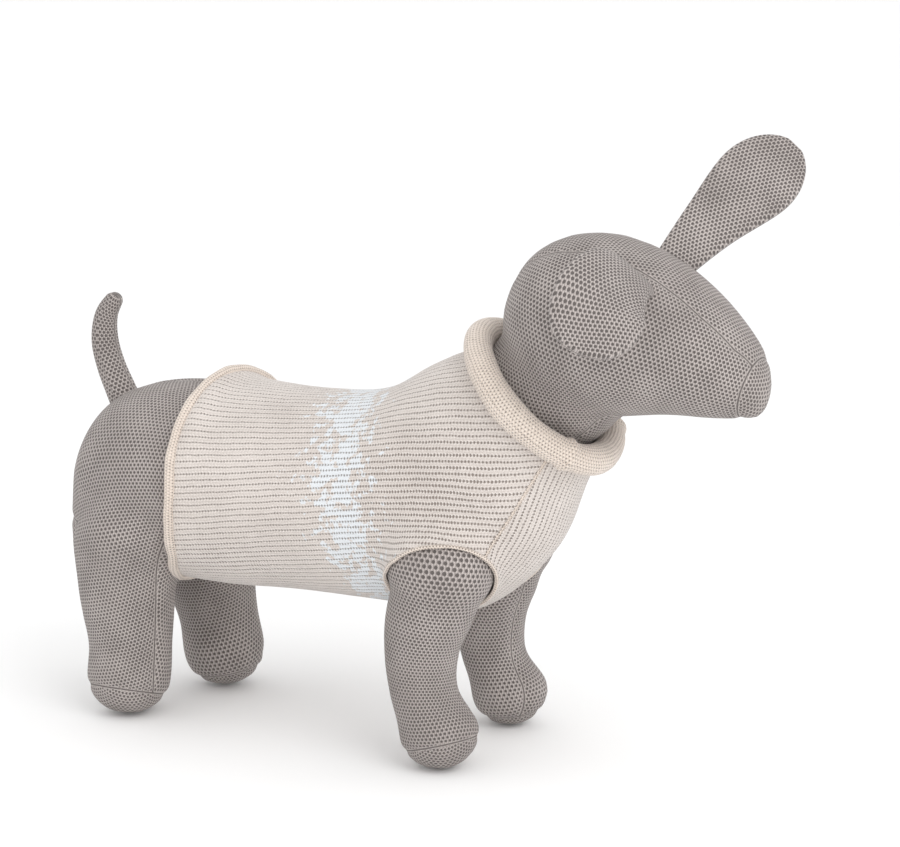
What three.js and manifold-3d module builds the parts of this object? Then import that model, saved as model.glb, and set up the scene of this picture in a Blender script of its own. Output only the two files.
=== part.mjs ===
// A small stuffed display dog that stands on four padded feet and wears a knitted sweater.
//
// Millimetres, +Z up. The nose points along +X and the dog's left side is +Y. The origin is at the
// middle of the box that the dog fills, on the surface that it stands on.
//
// Inside is a firm filling in lumps: torso, neck, head and four legs. Spacer mesh covers it, sewn from
// separate panels. The ears hold a stiff sheet and the tail a wired core, so both stay where they are bent.

import * as THREE from "three";
import { ParametricGeometry } from "three/addons/geometries/ParametricGeometry.js";
import { mergeVertices } from "three/addons/utils/BufferGeometryUtils.js";
import Module from "manifold-3d";

const wasm = await Module();
wasm.setup();

// ---------------------------------------------------------------- driving dimensions

const TAU = 2 * Math.PI;
const GAP = 0.4; // between pieces that touch
const MESH_THICK = 1.6; // spacer mesh cover
const KNIT_THICK = 2.6; // sweater fabric
const KNIT_CLEAR = 0.8; // sweater to cover
const FAR = 500; // reach of a cutting box
const SPECK = 5; // cubic millimetres, what a cut leaves over
const BODY_AROUND = 16; // facets of the large lofts
const ROUND = 12; // facets round a leg, a ball or an ear
const HOOP_AROUND = 24; // facets along a rolled edge
const HOOP_SIDES = 8; // and round its tube
const NECK_SIDES = 18; // facets round the neck

const NECK_LEAN = 40; // degrees, how far the neck rises above level
const NECK_RADIUS = 34;
const NECK_BASE = new THREE.Vector3(78.1, 0, 199.2); // where the neck leaves the torso
const NECK_AXIS = new THREE.Vector3(
  Math.cos(THREE.MathUtils.degToRad(NECK_LEAN)),
  0,
  Math.sin(THREE.MathUtils.degToRad(NECK_LEAN)),
);
const NOD_REACH = 36; // along the neck, from its base to the nod axis
const JOINT_CLEAR = 1.4; // between a round joint and its socket
const LEG_ROOM_BACK = -4; // how far the leg's room leans back below its joint
const LEG_ROOM_WIDEN = 1.4; // how much longer that room is at the leg's middle
const NOD_CONE = 10; // how much wider the head's mouth is than the neck, far from the nod axis

const COLLAR_REACH = 9.5; // along the neck, from its base to the rolled collar
const COLLAR_RADIUS = 43.5; // to the middle of the roll
const COLLAR_ROLL = 7.6; // radius of the rolled edge
const COLLAR_STRETCH = 1.5; // how much taller than wide the collar's ring is, in radius
const HEM_CENTRE = new THREE.Vector3(-110, 0, 137);
const HEM_SLOPE = 0.15; // how far the hem leans back for each millimetre down
const HEM_TWIST = 0.15; // and for each millimetre to the dog's right
const HEM_ROLL = 2.8; // radius of the rolled hem
const HEM_TALL = 61.2; // half height and half width of its middle line
const HEM_WIDE = 59.5;
const SEAM_WIDE = 1.6; // a sewn seam in the sweater
const SEAM_PROUD = 0.6; // how far a seam or an armhole edge stands out of the knit
const ARMHOLE_EDGE = 2.4; // width of the armhole's bound edge

// The right raglan seam lies on a plane through this point, square to this way. The left one mirrors it.
const RAGLAN_POINT = [87, -36, 151];
const RAGLAN_WAY = [0.727, 0.4235, -0.507];

const SOLE_TOP = 11; // the sole pad's seam above the ground
const SOLE_BOTTOM = 0.6; // its flat underside, as a share of the foot's size

// Sections of the torso from rump to neck: place, lean in degrees, half height and half width.
const TORSO = [
  upright(-212, 124, 0, 0, 0),
  upright(-205, 127, 0, 24, 27),
  upright(-190, 133, 0, 45, 47),
  upright(-160, 137, 0, 54, 57),
  upright(-110, 137, 0, 57, 55),
  upright(-60, 137, 0, 55, 52),
  upright(-10, 139, 2, 57, 52),
  upright(32, 147, 12, 66, 52),
  upright(62, 169, 27, 57, 48),
  upright(77, 190, 37, 44.5, 40.5),
  upright(88, 207, 40, 36, 36),
  upright(98, 215, 40, 36, 36),
];

// Sections of the head from the back of the skull to the nose.
const HEAD = [
  upright(65, 242, 0, 0, 0),
  upright(69, 242, 0, 20, 20),
  upright(82, 243, 0, 38, 37),
  upright(100, 243, 0, 47, 47),
  upright(120, 243, 0, 49, 50),
  upright(142, 240, 0, 47, 48),
  upright(163, 235, 0, 42, 41),
  upright(183, 228, 0, 34, 32),
  upright(199, 222, 0, 23.5, 22),
  upright(208.5, 217, 0, 14.5, 13),
  upright(212, 215, 0, 0, 0),
];

// Legs: joint centre, radius of the round top, and sections down to the ankle as
// height, place along X, place across, half length and half width. The last one is below the sole's cut.
const FRONT_LEG = {
  joint: [42, 39, 112],
  dome: 29,
  sections: [
    [116, 42, 39, 24, 24],
    [88, 37, 40, 25, 24],
    [64, 33, 42, 22, 21.5],
    [42, 35, 43, 20, 20],
    [24, 42, 44, 22, 21],
    [8, 45, 44, 22.5, 21.5],
    [-10, 45, 44, 22.5, 21.5],
  ],
};
const HIND_LEG = {
  joint: [0, 35, 108],
  dome: 30,
  sections: [
    [112, 0, 35, 26, 26],
    [86, 0, 36, 27, 26],
    [60, 0, 37, 24.5, 24],
    [38, 0, 37, 21.5, 21],
    [22, 1, 37, 21.5, 21],
    [8, 2, 37, 22, 21.5],
    [-10, 2, 37, 22, 21.5],
  ],
};
// The stuffed hind legs don't stand quite level with each other.
const HIND_RIGHT_X = -160;
const HIND_LEFT_X = -150;

// Ears: a long paddle on a spine, with its width turned down towards the face.
const EAR_THICK = 4.6; // half thickness in the middle
const EAR_CORE = 1.0;
const EAR_WIDTH_TURN = 40; // degrees, how far the front edge drops below the back edge
const EAR_BASE_HALF = 12.5; // half width where it is sewn to the head
const EAR_WIDE_HALF = 24; // half width of its round end
const EAR_ROUND_FROM = 0.7; // share of the length where the round end starts
const EAR_BROAD_FROM = 0.8; // share of the length where it is at its widest
const EAR_MARGIN = 4; // how far the stiff sheet stays inside the rim
const EAR_ALONG = 9; // facets along the ear
const EAR_LEFT_SPINE = [
  [147, 28, 280],
  [161, 47, 298],
  [175, 67, 316],
  [189, 87.6, 334],
];
const EAR_RIGHT_SPINE = [
  [147, -28, 279],
  [148, -52, 284],
  [149, -74, 269],
  [149, -85.7, 241],
];

const TAIL_SPINE = [
  [-187, 0, 184],
  [-194, 0, 196],
  [-200, 0, 212],
  [-200, 0, 228],
  [-193, 0, 243],
];
const TAIL_RADII = [8.5, 8, 7.4, 6.4, 5.2];
const TAIL_SPLIT = 0.5; // where along the tail its second joint lies
const TAIL_GAP = 2.4; // open at the second joint, so that the halves can bend
const TAIL_MESH = 1.4; // thickness of the tail's cover
const TIP_BLUNT = 14; // the higher, the blunter the tail's tip

// The head's top panel seen from above: half widths at the skull and at the nose, and where it narrows.
const GUSSET = { back: 40, half: 30, narrowsFrom: 138, noseHalf: 5, ahead: 233, bottom: 222, tall: 120 };
const NOSE_SEAM_X = 203;

const GREY = 0xa39a94;
const CREAM = 0xe8ddd6;
const WHITE_FILL = 0xf2f0ec;

// ---------------------------------------------------------------- shape helpers

function upright(x, z, lean, tall, wide) {
  const turn = THREE.MathUtils.degToRad(lean);
  return {
    centre: new THREE.Vector3(x, 0, z),
    across: new THREE.Vector3(0, wide, 0),
    up: new THREE.Vector3(-Math.sin(turn) * tall, 0, Math.cos(turn) * tall),
  };
}

function level([z, x, y, long, wide], side, shift) {
  return {
    centre: new THREE.Vector3(x + shift, y * side, z),
    across: new THREE.Vector3(0, wide, 0),
    up: new THREE.Vector3(long, 0, 0),
  };
}

function shorten(vector, by) {
  const length = vector.length();
  return vector.multiplyScalar(length > 0 ? Math.max(0, 1 - by / length) : 0);
}

// A closed body through elliptical sections, with each section drawn in by the inset. The first and
// last sections close it as points, drawn in towards their neighbours.
function loft(stations, inset, around) {
  const last = stations.length - 1;
  return solid(
    new ParametricGeometry(
      (u, v, target) => {
        const station = stations[Math.round(v * last)];
        const open = v > 0 && v < 1 ? 1 : 0;
        const a = shorten(station.across.clone(), inset).multiplyScalar(open);
        const b = shorten(station.up.clone(), inset).multiplyScalar(open);
        const inner = stations[THREE.MathUtils.clamp(Math.round(v * last), 1, last - 1)].centre;
        const inwards = inner.clone().sub(station.centre).normalize();
        target.copy(station.centre).addScaledVector(inwards, inset);
        target.addScaledVector(a, Math.cos(TAU * u));
        target.addScaledVector(b, Math.sin(TAU * u));
      },
      around,
      last,
    ),
  );
}

// A closed ring of round tube: the middle line is an ellipse on two half axes.
function hoop(centre, a, b, tube) {
  return solid(
    new ParametricGeometry(
      (u, v, target) => {
        const turn = TAU * u;
        const out = a.clone().multiplyScalar(Math.cos(turn)).addScaledVector(b, Math.sin(turn));
        const along = a.clone().multiplyScalar(-Math.sin(turn)).addScaledVector(b, Math.cos(turn));
        const binormal = new THREE.Vector3().crossVectors(a, b).normalize();
        const normal = new THREE.Vector3().crossVectors(along.normalize(), binormal);
        target.copy(centre).add(out);
        target.addScaledVector(normal, tube * Math.cos(TAU * v));
        target.addScaledVector(binormal, tube * Math.sin(TAU * v));
      },
      HOOP_AROUND,
      HOOP_SIDES,
    ),
  );
}

// One layer of a flattened paddle. Its flat side lies at the offset from the spine's sheet, and its
// other side is domed by the rise, towards +normal or -normal.
function paddleLayer(points, widthWay, offset, rise, inset) {
  const spine = new THREE.CatmullRomCurve3(points.map((p) => new THREE.Vector3(...p)));
  return solid(
    new ParametricGeometry(
      (u, v, target) => {
        const t = Math.sin((v * Math.PI) / 2);
        const broad = THREE.MathUtils.smoothstep(t, 0, EAR_BROAD_FROM);
        const past = Math.max(0, t - EAR_ROUND_FROM) / (1 - EAR_ROUND_FROM);
        const start = v > 0 ? 1 : 0;
        const ends = start * Math.sqrt(Math.max(0, 1 - past * past));
        const full = THREE.MathUtils.lerp(EAR_BASE_HALF, EAR_WIDE_HALF, broad);
        const half = Math.max(0, full * ends - inset);
        const along3 = spine.getTangent(t);
        const normal = new THREE.Vector3().crossVectors(along3, widthWay).normalize();
        const across = new THREE.Vector3().crossVectors(normal, along3).normalize();
        const arc = u < 0.5;
        const turn = TAU * u;
        const side = arc ? Math.cos(turn) : -1 + 4 * (u - 0.5);
        const lift = arc ? Math.sin(turn) * rise * ends : 0;
        target.copy(spine.getPoint(t));
        target.addScaledVector(across, half * side);
        target.addScaledVector(normal, offset + lift);
      },
      ROUND,
      EAR_ALONG,
    ),
  );
}

// A geometry as a manifold-3d solid with its faces pointing out.
function solid(geometry) {
  geometry.deleteAttribute("normal");
  geometry.deleteAttribute("uv");
  const merged = mergeVertices(geometry, 1e-3);
  const faces = [];
  const index = merged.index.array;
  for (let i = 0; i < index.length; i += 3) {
    const [a, b, c] = [index[i], index[i + 1], index[i + 2]];
    if (a !== b && b !== c && c !== a) {
      faces.push(a, b, c);
    }
  }
  const vertProperties = new Float32Array(merged.attributes.position.array);
  const triVerts = new Uint32Array(faces);
  const made = new wasm.Manifold(new wasm.Mesh({ numProp: 3, vertProperties, triVerts }));
  if (made.volume() > 0) {
    return made;
  }
  const flipped = new Uint32Array(faces).reverse();
  return new wasm.Manifold(new wasm.Mesh({ numProp: 3, vertProperties, triVerts: flipped }));
}

// Everything on the side of a plane that its normal points to.
function beyond(point, normal) {
  const box = new THREE.BoxGeometry(2 * FAR, 2 * FAR, 2 * FAR);
  box.translate(0, 0, FAR);
  const turn = new THREE.Quaternion().setFromUnitVectors(
    new THREE.Vector3(0, 0, 1),
    normal.clone().normalize(),
  );
  box.applyQuaternion(turn);
  box.translate(point.x, point.y, point.z);
  return solid(box);
}

function ball(centre, radius) {
  const sphere = new THREE.SphereGeometry(radius, ROUND, 8);
  sphere.rotateX(Math.PI / 2);
  sphere.translate(...centre);
  return solid(sphere);
}

function subtractAll(body, cutters) {
  return cutters.reduce((left, cutter) => left.subtract(cutter), body);
}

const dog = new THREE.Group();

// A cut can leave a speck beside the piece, so only the largest body is kept.
function node(name, body, color, roughness) {
  const [piece] = body.decompose().sort((a, b) => b.volume() - a.volume());
  const mesh = piece.getMesh();
  const geometry = new THREE.BufferGeometry();
  geometry.setAttribute("position", new THREE.BufferAttribute(mesh.vertProperties, 3));
  geometry.setIndex(new THREE.BufferAttribute(mesh.triVerts, 1));
  geometry.computeVertexNormals();
  const material = new THREE.MeshStandardMaterial({ color, roughness, metalness: 0 });
  const part = new THREE.Mesh(geometry, material);
  part.name = name;
  dog.add(part);
}

// The two sides of a body, parted at a plane across Y, with a gap between them.
function halves(body, y) {
  const out = new THREE.Vector3(0, 1, 0);
  const right = body.subtract(beyond(new THREE.Vector3(0, y - GAP / 2, 0), out));
  const left = body.subtract(beyond(new THREE.Vector3(0, y + GAP / 2, 0), out.negate()));
  return { right, left };
}

// ---------------------------------------------------------------- legs

const LEGS = [
  { name: "front_right", side: -1, shift: 0, ...FRONT_LEG },
  { name: "front_left", side: 1, shift: 0, ...FRONT_LEG },
  { name: "hind_right", side: -1, shift: HIND_RIGHT_X, ...HIND_LEG },
  { name: "hind_left", side: 1, shift: HIND_LEFT_X, ...HIND_LEG },
];

function jointOf(leg) {
  return [leg.joint[0] + leg.shift, leg.joint[1] * leg.side, leg.joint[2]];
}

// A leg's outer shape, drawn in by the inset: a round top on a tapering shaft, cut at the sole's seam.
function legShape(leg, inset) {
  const stations = leg.sections.map((s) => level(s, leg.side, leg.shift));
  const shaft = loft(stations, inset, ROUND);
  const top = ball(jointOf(leg), leg.dome - inset);
  const seam = new THREE.Vector3(0, 0, SOLE_TOP + GAP + inset);
  return shaft.add(top).subtract(beyond(seam, new THREE.Vector3(0, 0, -1)));
}

// A shallow cup that closes the foot: flat on the ground and round at its rim.
function solePad(leg) {
  const [, x, y, long, wide] = leg.sections.at(-1);
  const rim = new THREE.Vector2(1, SOLE_TOP);
  const flat = new THREE.Vector2(SOLE_BOTTOM, 0);
  const swell = new THREE.Vector2(0.98, 2);
  const edge = new THREE.QuadraticBezierCurve(flat, swell, rim).getPoints(3);
  const profile = [new THREE.Vector2(0, 0), ...edge, new THREE.Vector2(0, SOLE_TOP)];
  const pad = new THREE.LatheGeometry(profile, ROUND);
  pad.rotateX(Math.PI / 2);
  pad.scale(long - 1, wide - 1, 1);
  pad.translate(x + leg.shift, y * leg.side, 0);
  return solid(pad);
}

for (const leg of LEGS) {
  const cover = legShape(leg, 0).subtract(legShape(leg, MESH_THICK));
  const { right, left } = halves(cover, leg.joint[1] * leg.side);
  const [outer, inner] = leg.side < 0 ? [right, left] : [left, right];
  node(`leg_${leg.name}_outer_panel`, outer, GREY, 0.85);
  node(`leg_${leg.name}_inner_panel`, inner, GREY, 0.85);
  node(`leg_${leg.name}_filling`, legShape(leg, MESH_THICK + GAP), WHITE_FILL, 1);
  node(`leg_${leg.name}_sole_pad`, solePad(leg), GREY, 0.85);
}

// ---------------------------------------------------------------- torso and neck

const neckCut = beyond(NECK_BASE, NECK_AXIS);

// The room that a leg swings in: a ball about its joint, and below it a column that widens fore and aft.
function legRoom(leg, margin) {
  const [, across, height] = leg.joint;
  const radius = leg.dome + JOINT_CLEAR + margin;
  const column = [
    [height + radius, 0, across, 0, 0],
    [height, 0, across, radius, radius],
    [height - 50, LEG_ROOM_BACK, across + 1, radius * LEG_ROOM_WIDEN, radius],
    [height - 100, LEG_ROOM_BACK, across + 1, 0, 0],
  ];
  const stations = column.map((s) => level(s, leg.side, leg.joint[0] + leg.shift));
  return ball(jointOf(leg), radius).add(loft(stations, 0, ROUND));
}

const legRooms = LEGS.map((leg) => legRoom(leg, 0));

const torsoHollow = loft(TORSO, MESH_THICK, BODY_AROUND);
const torsoCuts = [torsoHollow, neckCut, ...legRooms];
const torsoCover = subtractAll(loft(TORSO, 0, BODY_AROUND), torsoCuts);
const torsoSides = halves(torsoCover, 0);
node("torso_right_panel", torsoSides.right, GREY, 0.85);
node("torso_left_panel", torsoSides.left, GREY, 0.85);
const torsoLump = loft(TORSO, MESH_THICK + GAP, BODY_AROUND);
node("torso_filling", subtractAll(torsoLump, [neckCut, ...legRooms]), WHITE_FILL, 1);

function neckPoint(reach) {
  return NECK_BASE.clone().addScaledVector(NECK_AXIS, reach);
}

// A round neck about its own axis, closed by a dome about the nod axis.
function neckShape(inset) {
  const radius = NECK_RADIUS - inset;
  const base = GAP + inset;
  const dome = new THREE.EllipseCurve(0, NOD_REACH, radius, radius, 0, Math.PI / 2).getPoints(6);
  const profile = [new THREE.Vector2(0, base), new THREE.Vector2(radius, base), ...dome];
  profile.at(-1).x = 0;
  const neck = new THREE.LatheGeometry(profile, NECK_SIDES);
  const turn = new THREE.Quaternion().setFromUnitVectors(new THREE.Vector3(0, 1, 0), NECK_AXIS);
  neck.applyQuaternion(turn);
  neck.translate(NECK_BASE.x, NECK_BASE.y, NECK_BASE.z);
  return solid(neck);
}

const neckHollow = neckShape(MESH_THICK);
const neckMouth = beyond(neckPoint(GAP + 2 * MESH_THICK), NECK_AXIS.clone().negate());
node("neck_cover", neckShape(0).subtract(neckHollow).subtract(neckMouth), GREY, 0.85);
node("neck_filling", neckShape(MESH_THICK + GAP), WHITE_FILL, 1);

// ---------------------------------------------------------------- head

// The room that the neck needs inside the head: a ball at the nod axis and a widening mouth below it.
function neckRoom() {
  const radius = NECK_RADIUS + JOINT_CLEAR;
  const dome = new THREE.EllipseCurve(0, NOD_REACH, radius, radius, 0, Math.PI / 2).getPoints(8);
  const mouth = new THREE.Vector2(radius + NOD_CONE, -NOD_REACH);
  const profile = [new THREE.Vector2(0, -NOD_REACH), mouth, ...dome];
  profile.at(-1).x = 0;
  const room = new THREE.LatheGeometry(profile, NECK_SIDES);
  const turn = new THREE.Quaternion().setFromUnitVectors(new THREE.Vector3(0, 1, 0), NECK_AXIS);
  room.applyQuaternion(turn);
  room.translate(NECK_BASE.x, NECK_BASE.y, NECK_BASE.z);
  return solid(room);
}

// A column over the top panel's outline: broad at the back of the skull and narrow at the nose.
function gussetColumn(grow) {
  const half = GUSSET.half + grow;
  const noseHalf = GUSSET.noseHalf + grow;
  const outline = new THREE.Shape();
  outline.moveTo(GUSSET.back, -half);
  outline.lineTo(GUSSET.narrowsFrom, -half);
  outline.lineTo(GUSSET.ahead, -noseHalf);
  outline.lineTo(GUSSET.ahead, noseHalf);
  outline.lineTo(GUSSET.narrowsFrom, half);
  outline.lineTo(GUSSET.back, half);
  const column = new THREE.ExtrudeGeometry(outline, { depth: GUSSET.tall, bevelEnabled: false });
  column.translate(0, 0, GUSSET.bottom - grow);
  return solid(column);
}

const headRoom = neckRoom();
const headOuter = loft(HEAD, 0, BODY_AROUND);
const headShell = headOuter.subtract(loft(HEAD, MESH_THICK, BODY_AROUND)).subtract(headRoom);
const noseAhead = beyond(new THREE.Vector3(NOSE_SEAM_X, 0, 0), new THREE.Vector3(1, 0, 0));
const noseBehind = beyond(
  new THREE.Vector3(NOSE_SEAM_X + GAP, 0, 0),
  new THREE.Vector3(-1, 0, 0),
);
const skullShell = headShell.subtract(noseAhead);
const headSides = halves(skullShell.subtract(gussetColumn(GAP)), 0);
node("head_right_panel", headSides.right, GREY, 0.85);
node("head_left_panel", headSides.left, GREY, 0.85);
node("head_top_gusset", skullShell.intersect(gussetColumn(0)), GREY, 0.85);
node("nose_panel", headShell.subtract(noseBehind), GREY, 0.85);
node("head_filling", loft(HEAD, MESH_THICK + GAP, BODY_AROUND).subtract(headRoom), WHITE_FILL, 1);

// ---------------------------------------------------------------- ears

function ear(side, spine) {
  const drop = THREE.MathUtils.degToRad(EAR_WIDTH_TURN);
  const widthWay = new THREE.Vector3(Math.cos(drop), 0, -Math.sin(drop));
  const rise = EAR_THICK - EAR_CORE;
  const apart = EAR_CORE / 2 + 2 * GAP;
  const clear = loft(HEAD, -2, BODY_AROUND);
  const layers = {
    front_panel: paddleLayer(spine, widthWay, apart, rise, 0),
    back_panel: paddleLayer(spine, widthWay, -apart, -rise, 0),
    stiffener: paddleLayer(spine, widthWay, -EAR_CORE / 2, EAR_CORE, EAR_MARGIN),
  };
  for (const [name, layer] of Object.entries(layers)) {
    const color = name === "stiffener" ? WHITE_FILL : GREY;
    node(`ear_${side}_${name}`, layer.subtract(clear), color, 0.85);
  }
}

ear("right", EAR_RIGHT_SPINE);
ear("left", EAR_LEFT_SPINE);

// ---------------------------------------------------------------- tail

const tailCurve = new THREE.CatmullRomCurve3(TAIL_SPINE.map((p) => new THREE.Vector3(...p)));
const tailRadii = new THREE.CatmullRomCurve3(TAIL_RADII.map((r, i) => new THREE.Vector3(i, r, 0)));

// The tail's round shape, drawn in by the inset at its sides and its tip.
function tailShape(inset) {
  const reach = 1 - inset / tailCurve.getLength();
  return solid(
    new ParametricGeometry(
      (u, v, target) => {
        const t = v * reach;
        const tip = Math.sqrt(1 - Math.pow(v, TIP_BLUNT));
        const radius = v > 0 ? Math.max(0, tailRadii.getPoint(t).y * tip - inset) : 0;
        const across = new THREE.Vector3(0, 1, 0);
        const normal = new THREE.Vector3().crossVectors(tailCurve.getTangent(t), across).normalize();
        target.copy(tailCurve.getPoint(t));
        target.addScaledVector(across, radius * Math.cos(TAU * u));
        target.addScaledVector(normal, radius * Math.sin(TAU * u));
      },
      10,
      14,
    ),
  );
}

const tailBend = tailCurve.getPoint(TAIL_SPLIT);
const tailWay = tailCurve.getTangent(TAIL_SPLIT);
const rumpClear = loft(TORSO, -1, BODY_AROUND);

// A stretch of the tail on one side of its second joint.
function tailStretch(body, sign) {
  const way = tailWay.clone().multiplyScalar(-sign);
  const edge = tailBend.clone().addScaledVector(way, -TAIL_GAP / 2);
  return body.subtract(beyond(edge, way)).subtract(rumpClear);
}

const tailSkin = tailShape(0).subtract(tailShape(TAIL_MESH));
for (const [name, sign] of [["lower", -1], ["upper", 1]]) {
  const { right, left } = halves(tailStretch(tailSkin, sign), 0);
  node(`tail_${name}_right_panel`, right, GREY, 0.85);
  node(`tail_${name}_left_panel`, left, GREY, 0.85);
  node(`tail_${name}_wired_core`, tailStretch(tailShape(TAIL_MESH + GAP), sign), WHITE_FILL, 1);
}

// ---------------------------------------------------------------- sweater

const knitInner = loft(TORSO, -KNIT_CLEAR, BODY_AROUND);
const knitOuter = loft(TORSO, -KNIT_CLEAR - KNIT_THICK, BODY_AROUND);
const hemWay = new THREE.Vector3(-1, HEM_TWIST, HEM_SLOPE).normalize();
const hemCut = beyond(HEM_CENTRE, hemWay);
const collarCut = beyond(neckPoint(COLLAR_REACH - COLLAR_ROLL - GAP), NECK_AXIS);
const knit = subtractAll(knitOuter.subtract(knitInner), [hemCut, collarCut]);

// Each armhole has a bound edge, a ring that stands a little out of the knit.
const frontLegs = LEGS.slice(0, 2);
const proud = loft(TORSO, -KNIT_CLEAR - KNIT_THICK - SEAM_PROUD, BODY_AROUND);
const proudKnit = proud.subtract(knitInner);
for (const leg of frontLegs) {
  const ring = legRoom(leg, ARMHOLE_EDGE).subtract(legRoom(leg, GAP));
  const side = leg.side < 0 ? "right" : "left";
  node(`sweater_armhole_edge_${side}`, proudKnit.intersect(ring), CREAM, 0.95);
}

// The chest panel is a wedge between two planes. It runs from the collar between the front legs and
// ends in a point under the belly. A negative draw makes the wedge larger.
function chestWedge(draw) {
  const [right, left] = [1, -1].map((side) => {
    const mirror = new THREE.Vector3(1, side, 1);
    const way = new THREE.Vector3(...RAGLAN_WAY).multiply(mirror).normalize();
    const point = new THREE.Vector3(...RAGLAN_POINT).multiply(mirror);
    return beyond(point.addScaledVector(way, draw), way);
  });
  return right.intersect(left);
}

const armholeCuts = frontLegs.map((leg) => legRoom(leg, ARMHOLE_EDGE + GAP));
const sweater = subtractAll(knit, armholeCuts);
const panelEdge = SEAM_WIDE / 2 + GAP;
node("sweater_back_panel", sweater.subtract(chestWedge(-panelEdge)), CREAM, 0.95);
node("sweater_chest_panel", sweater.intersect(chestWedge(panelEdge)), CREAM, 0.95);

// A seam on each side runs from the collar to the armhole, and one goes round the wedge's point.
const seamStrip = chestWedge(-SEAM_WIDE / 2).subtract(chestWedge(SEAM_WIDE / 2));
const seamKnit = subtractAll(proudKnit.intersect(seamStrip), [collarCut, ...armholeCuts]);
const seamNames = ["raglan_seam_right", "belly_seam", "raglan_seam_left"];
for (const seam of seamKnit.decompose().filter((piece) => piece.volume() > SPECK)) {
  const { min, max } = seam.boundingBox();
  const side = Math.sign(Math.round((min[1] + max[1]) / 2));
  node(`sweater_${seamNames[side + 1]}`, seam, CREAM, 0.95);
}

const hemMiddle = HEM_CENTRE.clone().addScaledVector(hemWay, HEM_ROLL + GAP);
const hemDown = new THREE.Vector3(-HEM_SLOPE, 0, -1).multiplyScalar(HEM_TALL);
const hemSide = new THREE.Vector3(HEM_TWIST, 1, 0).multiplyScalar(HEM_WIDE);
node("sweater_hem_roll", hoop(hemMiddle, hemDown, hemSide, HEM_ROLL), CREAM, 0.95);

const collarSide = new THREE.Vector3(0, COLLAR_RADIUS, 0);
const collarUp = new THREE.Vector3(-NECK_AXIS.z, 0, NECK_AXIS.x);
collarUp.multiplyScalar(COLLAR_RADIUS + COLLAR_STRETCH);
const collarRing = hoop(neckPoint(COLLAR_REACH), collarUp, collarSide, COLLAR_ROLL);
node("sweater_collar_roll", collarRing, CREAM, 0.95);

export default dog;
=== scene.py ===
"""A small stuffed display dog in a knitted sweater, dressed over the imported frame.

Shapes are worked out in millimetres in the frame's own axes: the nose along +X, the dog's left along +Y
and up along +Z. They are turned into metres only when an object is made.
"""

from __future__ import annotations

import logging
import math
from dataclasses import dataclass, field
from enum import Enum
from typing import Callable, Sequence

import bmesh
import bpy
import numpy as np
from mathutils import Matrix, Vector
from mathutils.kdtree import KDTree

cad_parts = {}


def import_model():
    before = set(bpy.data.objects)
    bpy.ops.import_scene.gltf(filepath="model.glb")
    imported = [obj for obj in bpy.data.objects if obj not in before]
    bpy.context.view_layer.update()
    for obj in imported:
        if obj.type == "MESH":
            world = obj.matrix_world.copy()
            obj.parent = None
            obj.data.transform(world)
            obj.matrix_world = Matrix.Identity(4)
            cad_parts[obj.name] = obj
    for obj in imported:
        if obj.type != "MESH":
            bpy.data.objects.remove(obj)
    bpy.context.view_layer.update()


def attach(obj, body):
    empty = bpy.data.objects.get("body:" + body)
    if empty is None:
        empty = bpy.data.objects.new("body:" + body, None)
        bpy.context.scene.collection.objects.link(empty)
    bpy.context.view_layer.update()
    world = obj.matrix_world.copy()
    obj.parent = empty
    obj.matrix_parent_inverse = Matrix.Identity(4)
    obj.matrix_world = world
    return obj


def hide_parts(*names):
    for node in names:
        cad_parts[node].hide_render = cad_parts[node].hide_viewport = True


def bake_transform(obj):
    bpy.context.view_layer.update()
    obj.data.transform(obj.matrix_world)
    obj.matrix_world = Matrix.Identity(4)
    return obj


LOG = logging.getLogger("plush_dog")
Array = np.ndarray
MM = 0.001
UV_NAME = "cloth"
SEAM_NAME = "seam_mm"
OPEN_NAME = "opened"
BAND_NAME = "band_mm"
# Millimetres: a distance where no seam shows, the lowest level of a skin before and after its seams
# are drawn in, and the radius that closes the end of a tube.
FAR_FROM_SEAMS = 99.0
UNDERFOOT = 0.3
SOLE_LEVEL = 0.2
CLOSED_RADIUS = 0.05


# ---------------------------------------------------------------- sections and smooth lines


@dataclass(frozen=True)
class Section:
    """An ellipse in space: its centre and its two half axes, in millimetres."""

    centre: tuple[float, float, float]
    long: tuple[float, float, float]
    wide: tuple[float, float, float]

    def grown(self, by: float) -> Array:
        """The section as nine numbers, with both half axes longer by an amount."""
        axes = [np.array(self.long, float), np.array(self.wide, float)]
        sizes = [np.linalg.norm(axis) for axis in axes]
        axes = [a * (1 + by / s) if s > 0 else a for a, s in zip(axes, sizes)]
        return np.concatenate([self.centre, *axes])


def upright(x: float, z: float, lean: float, tall: float, wide: float) -> Section:
    """A section across the body, leaning back by an angle in degrees."""
    turn = math.radians(lean)
    up = (-math.sin(turn) * tall, 0.0, math.cos(turn) * tall)
    return Section((x, 0.0, z), up, (0.0, wide, 0.0))


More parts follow.
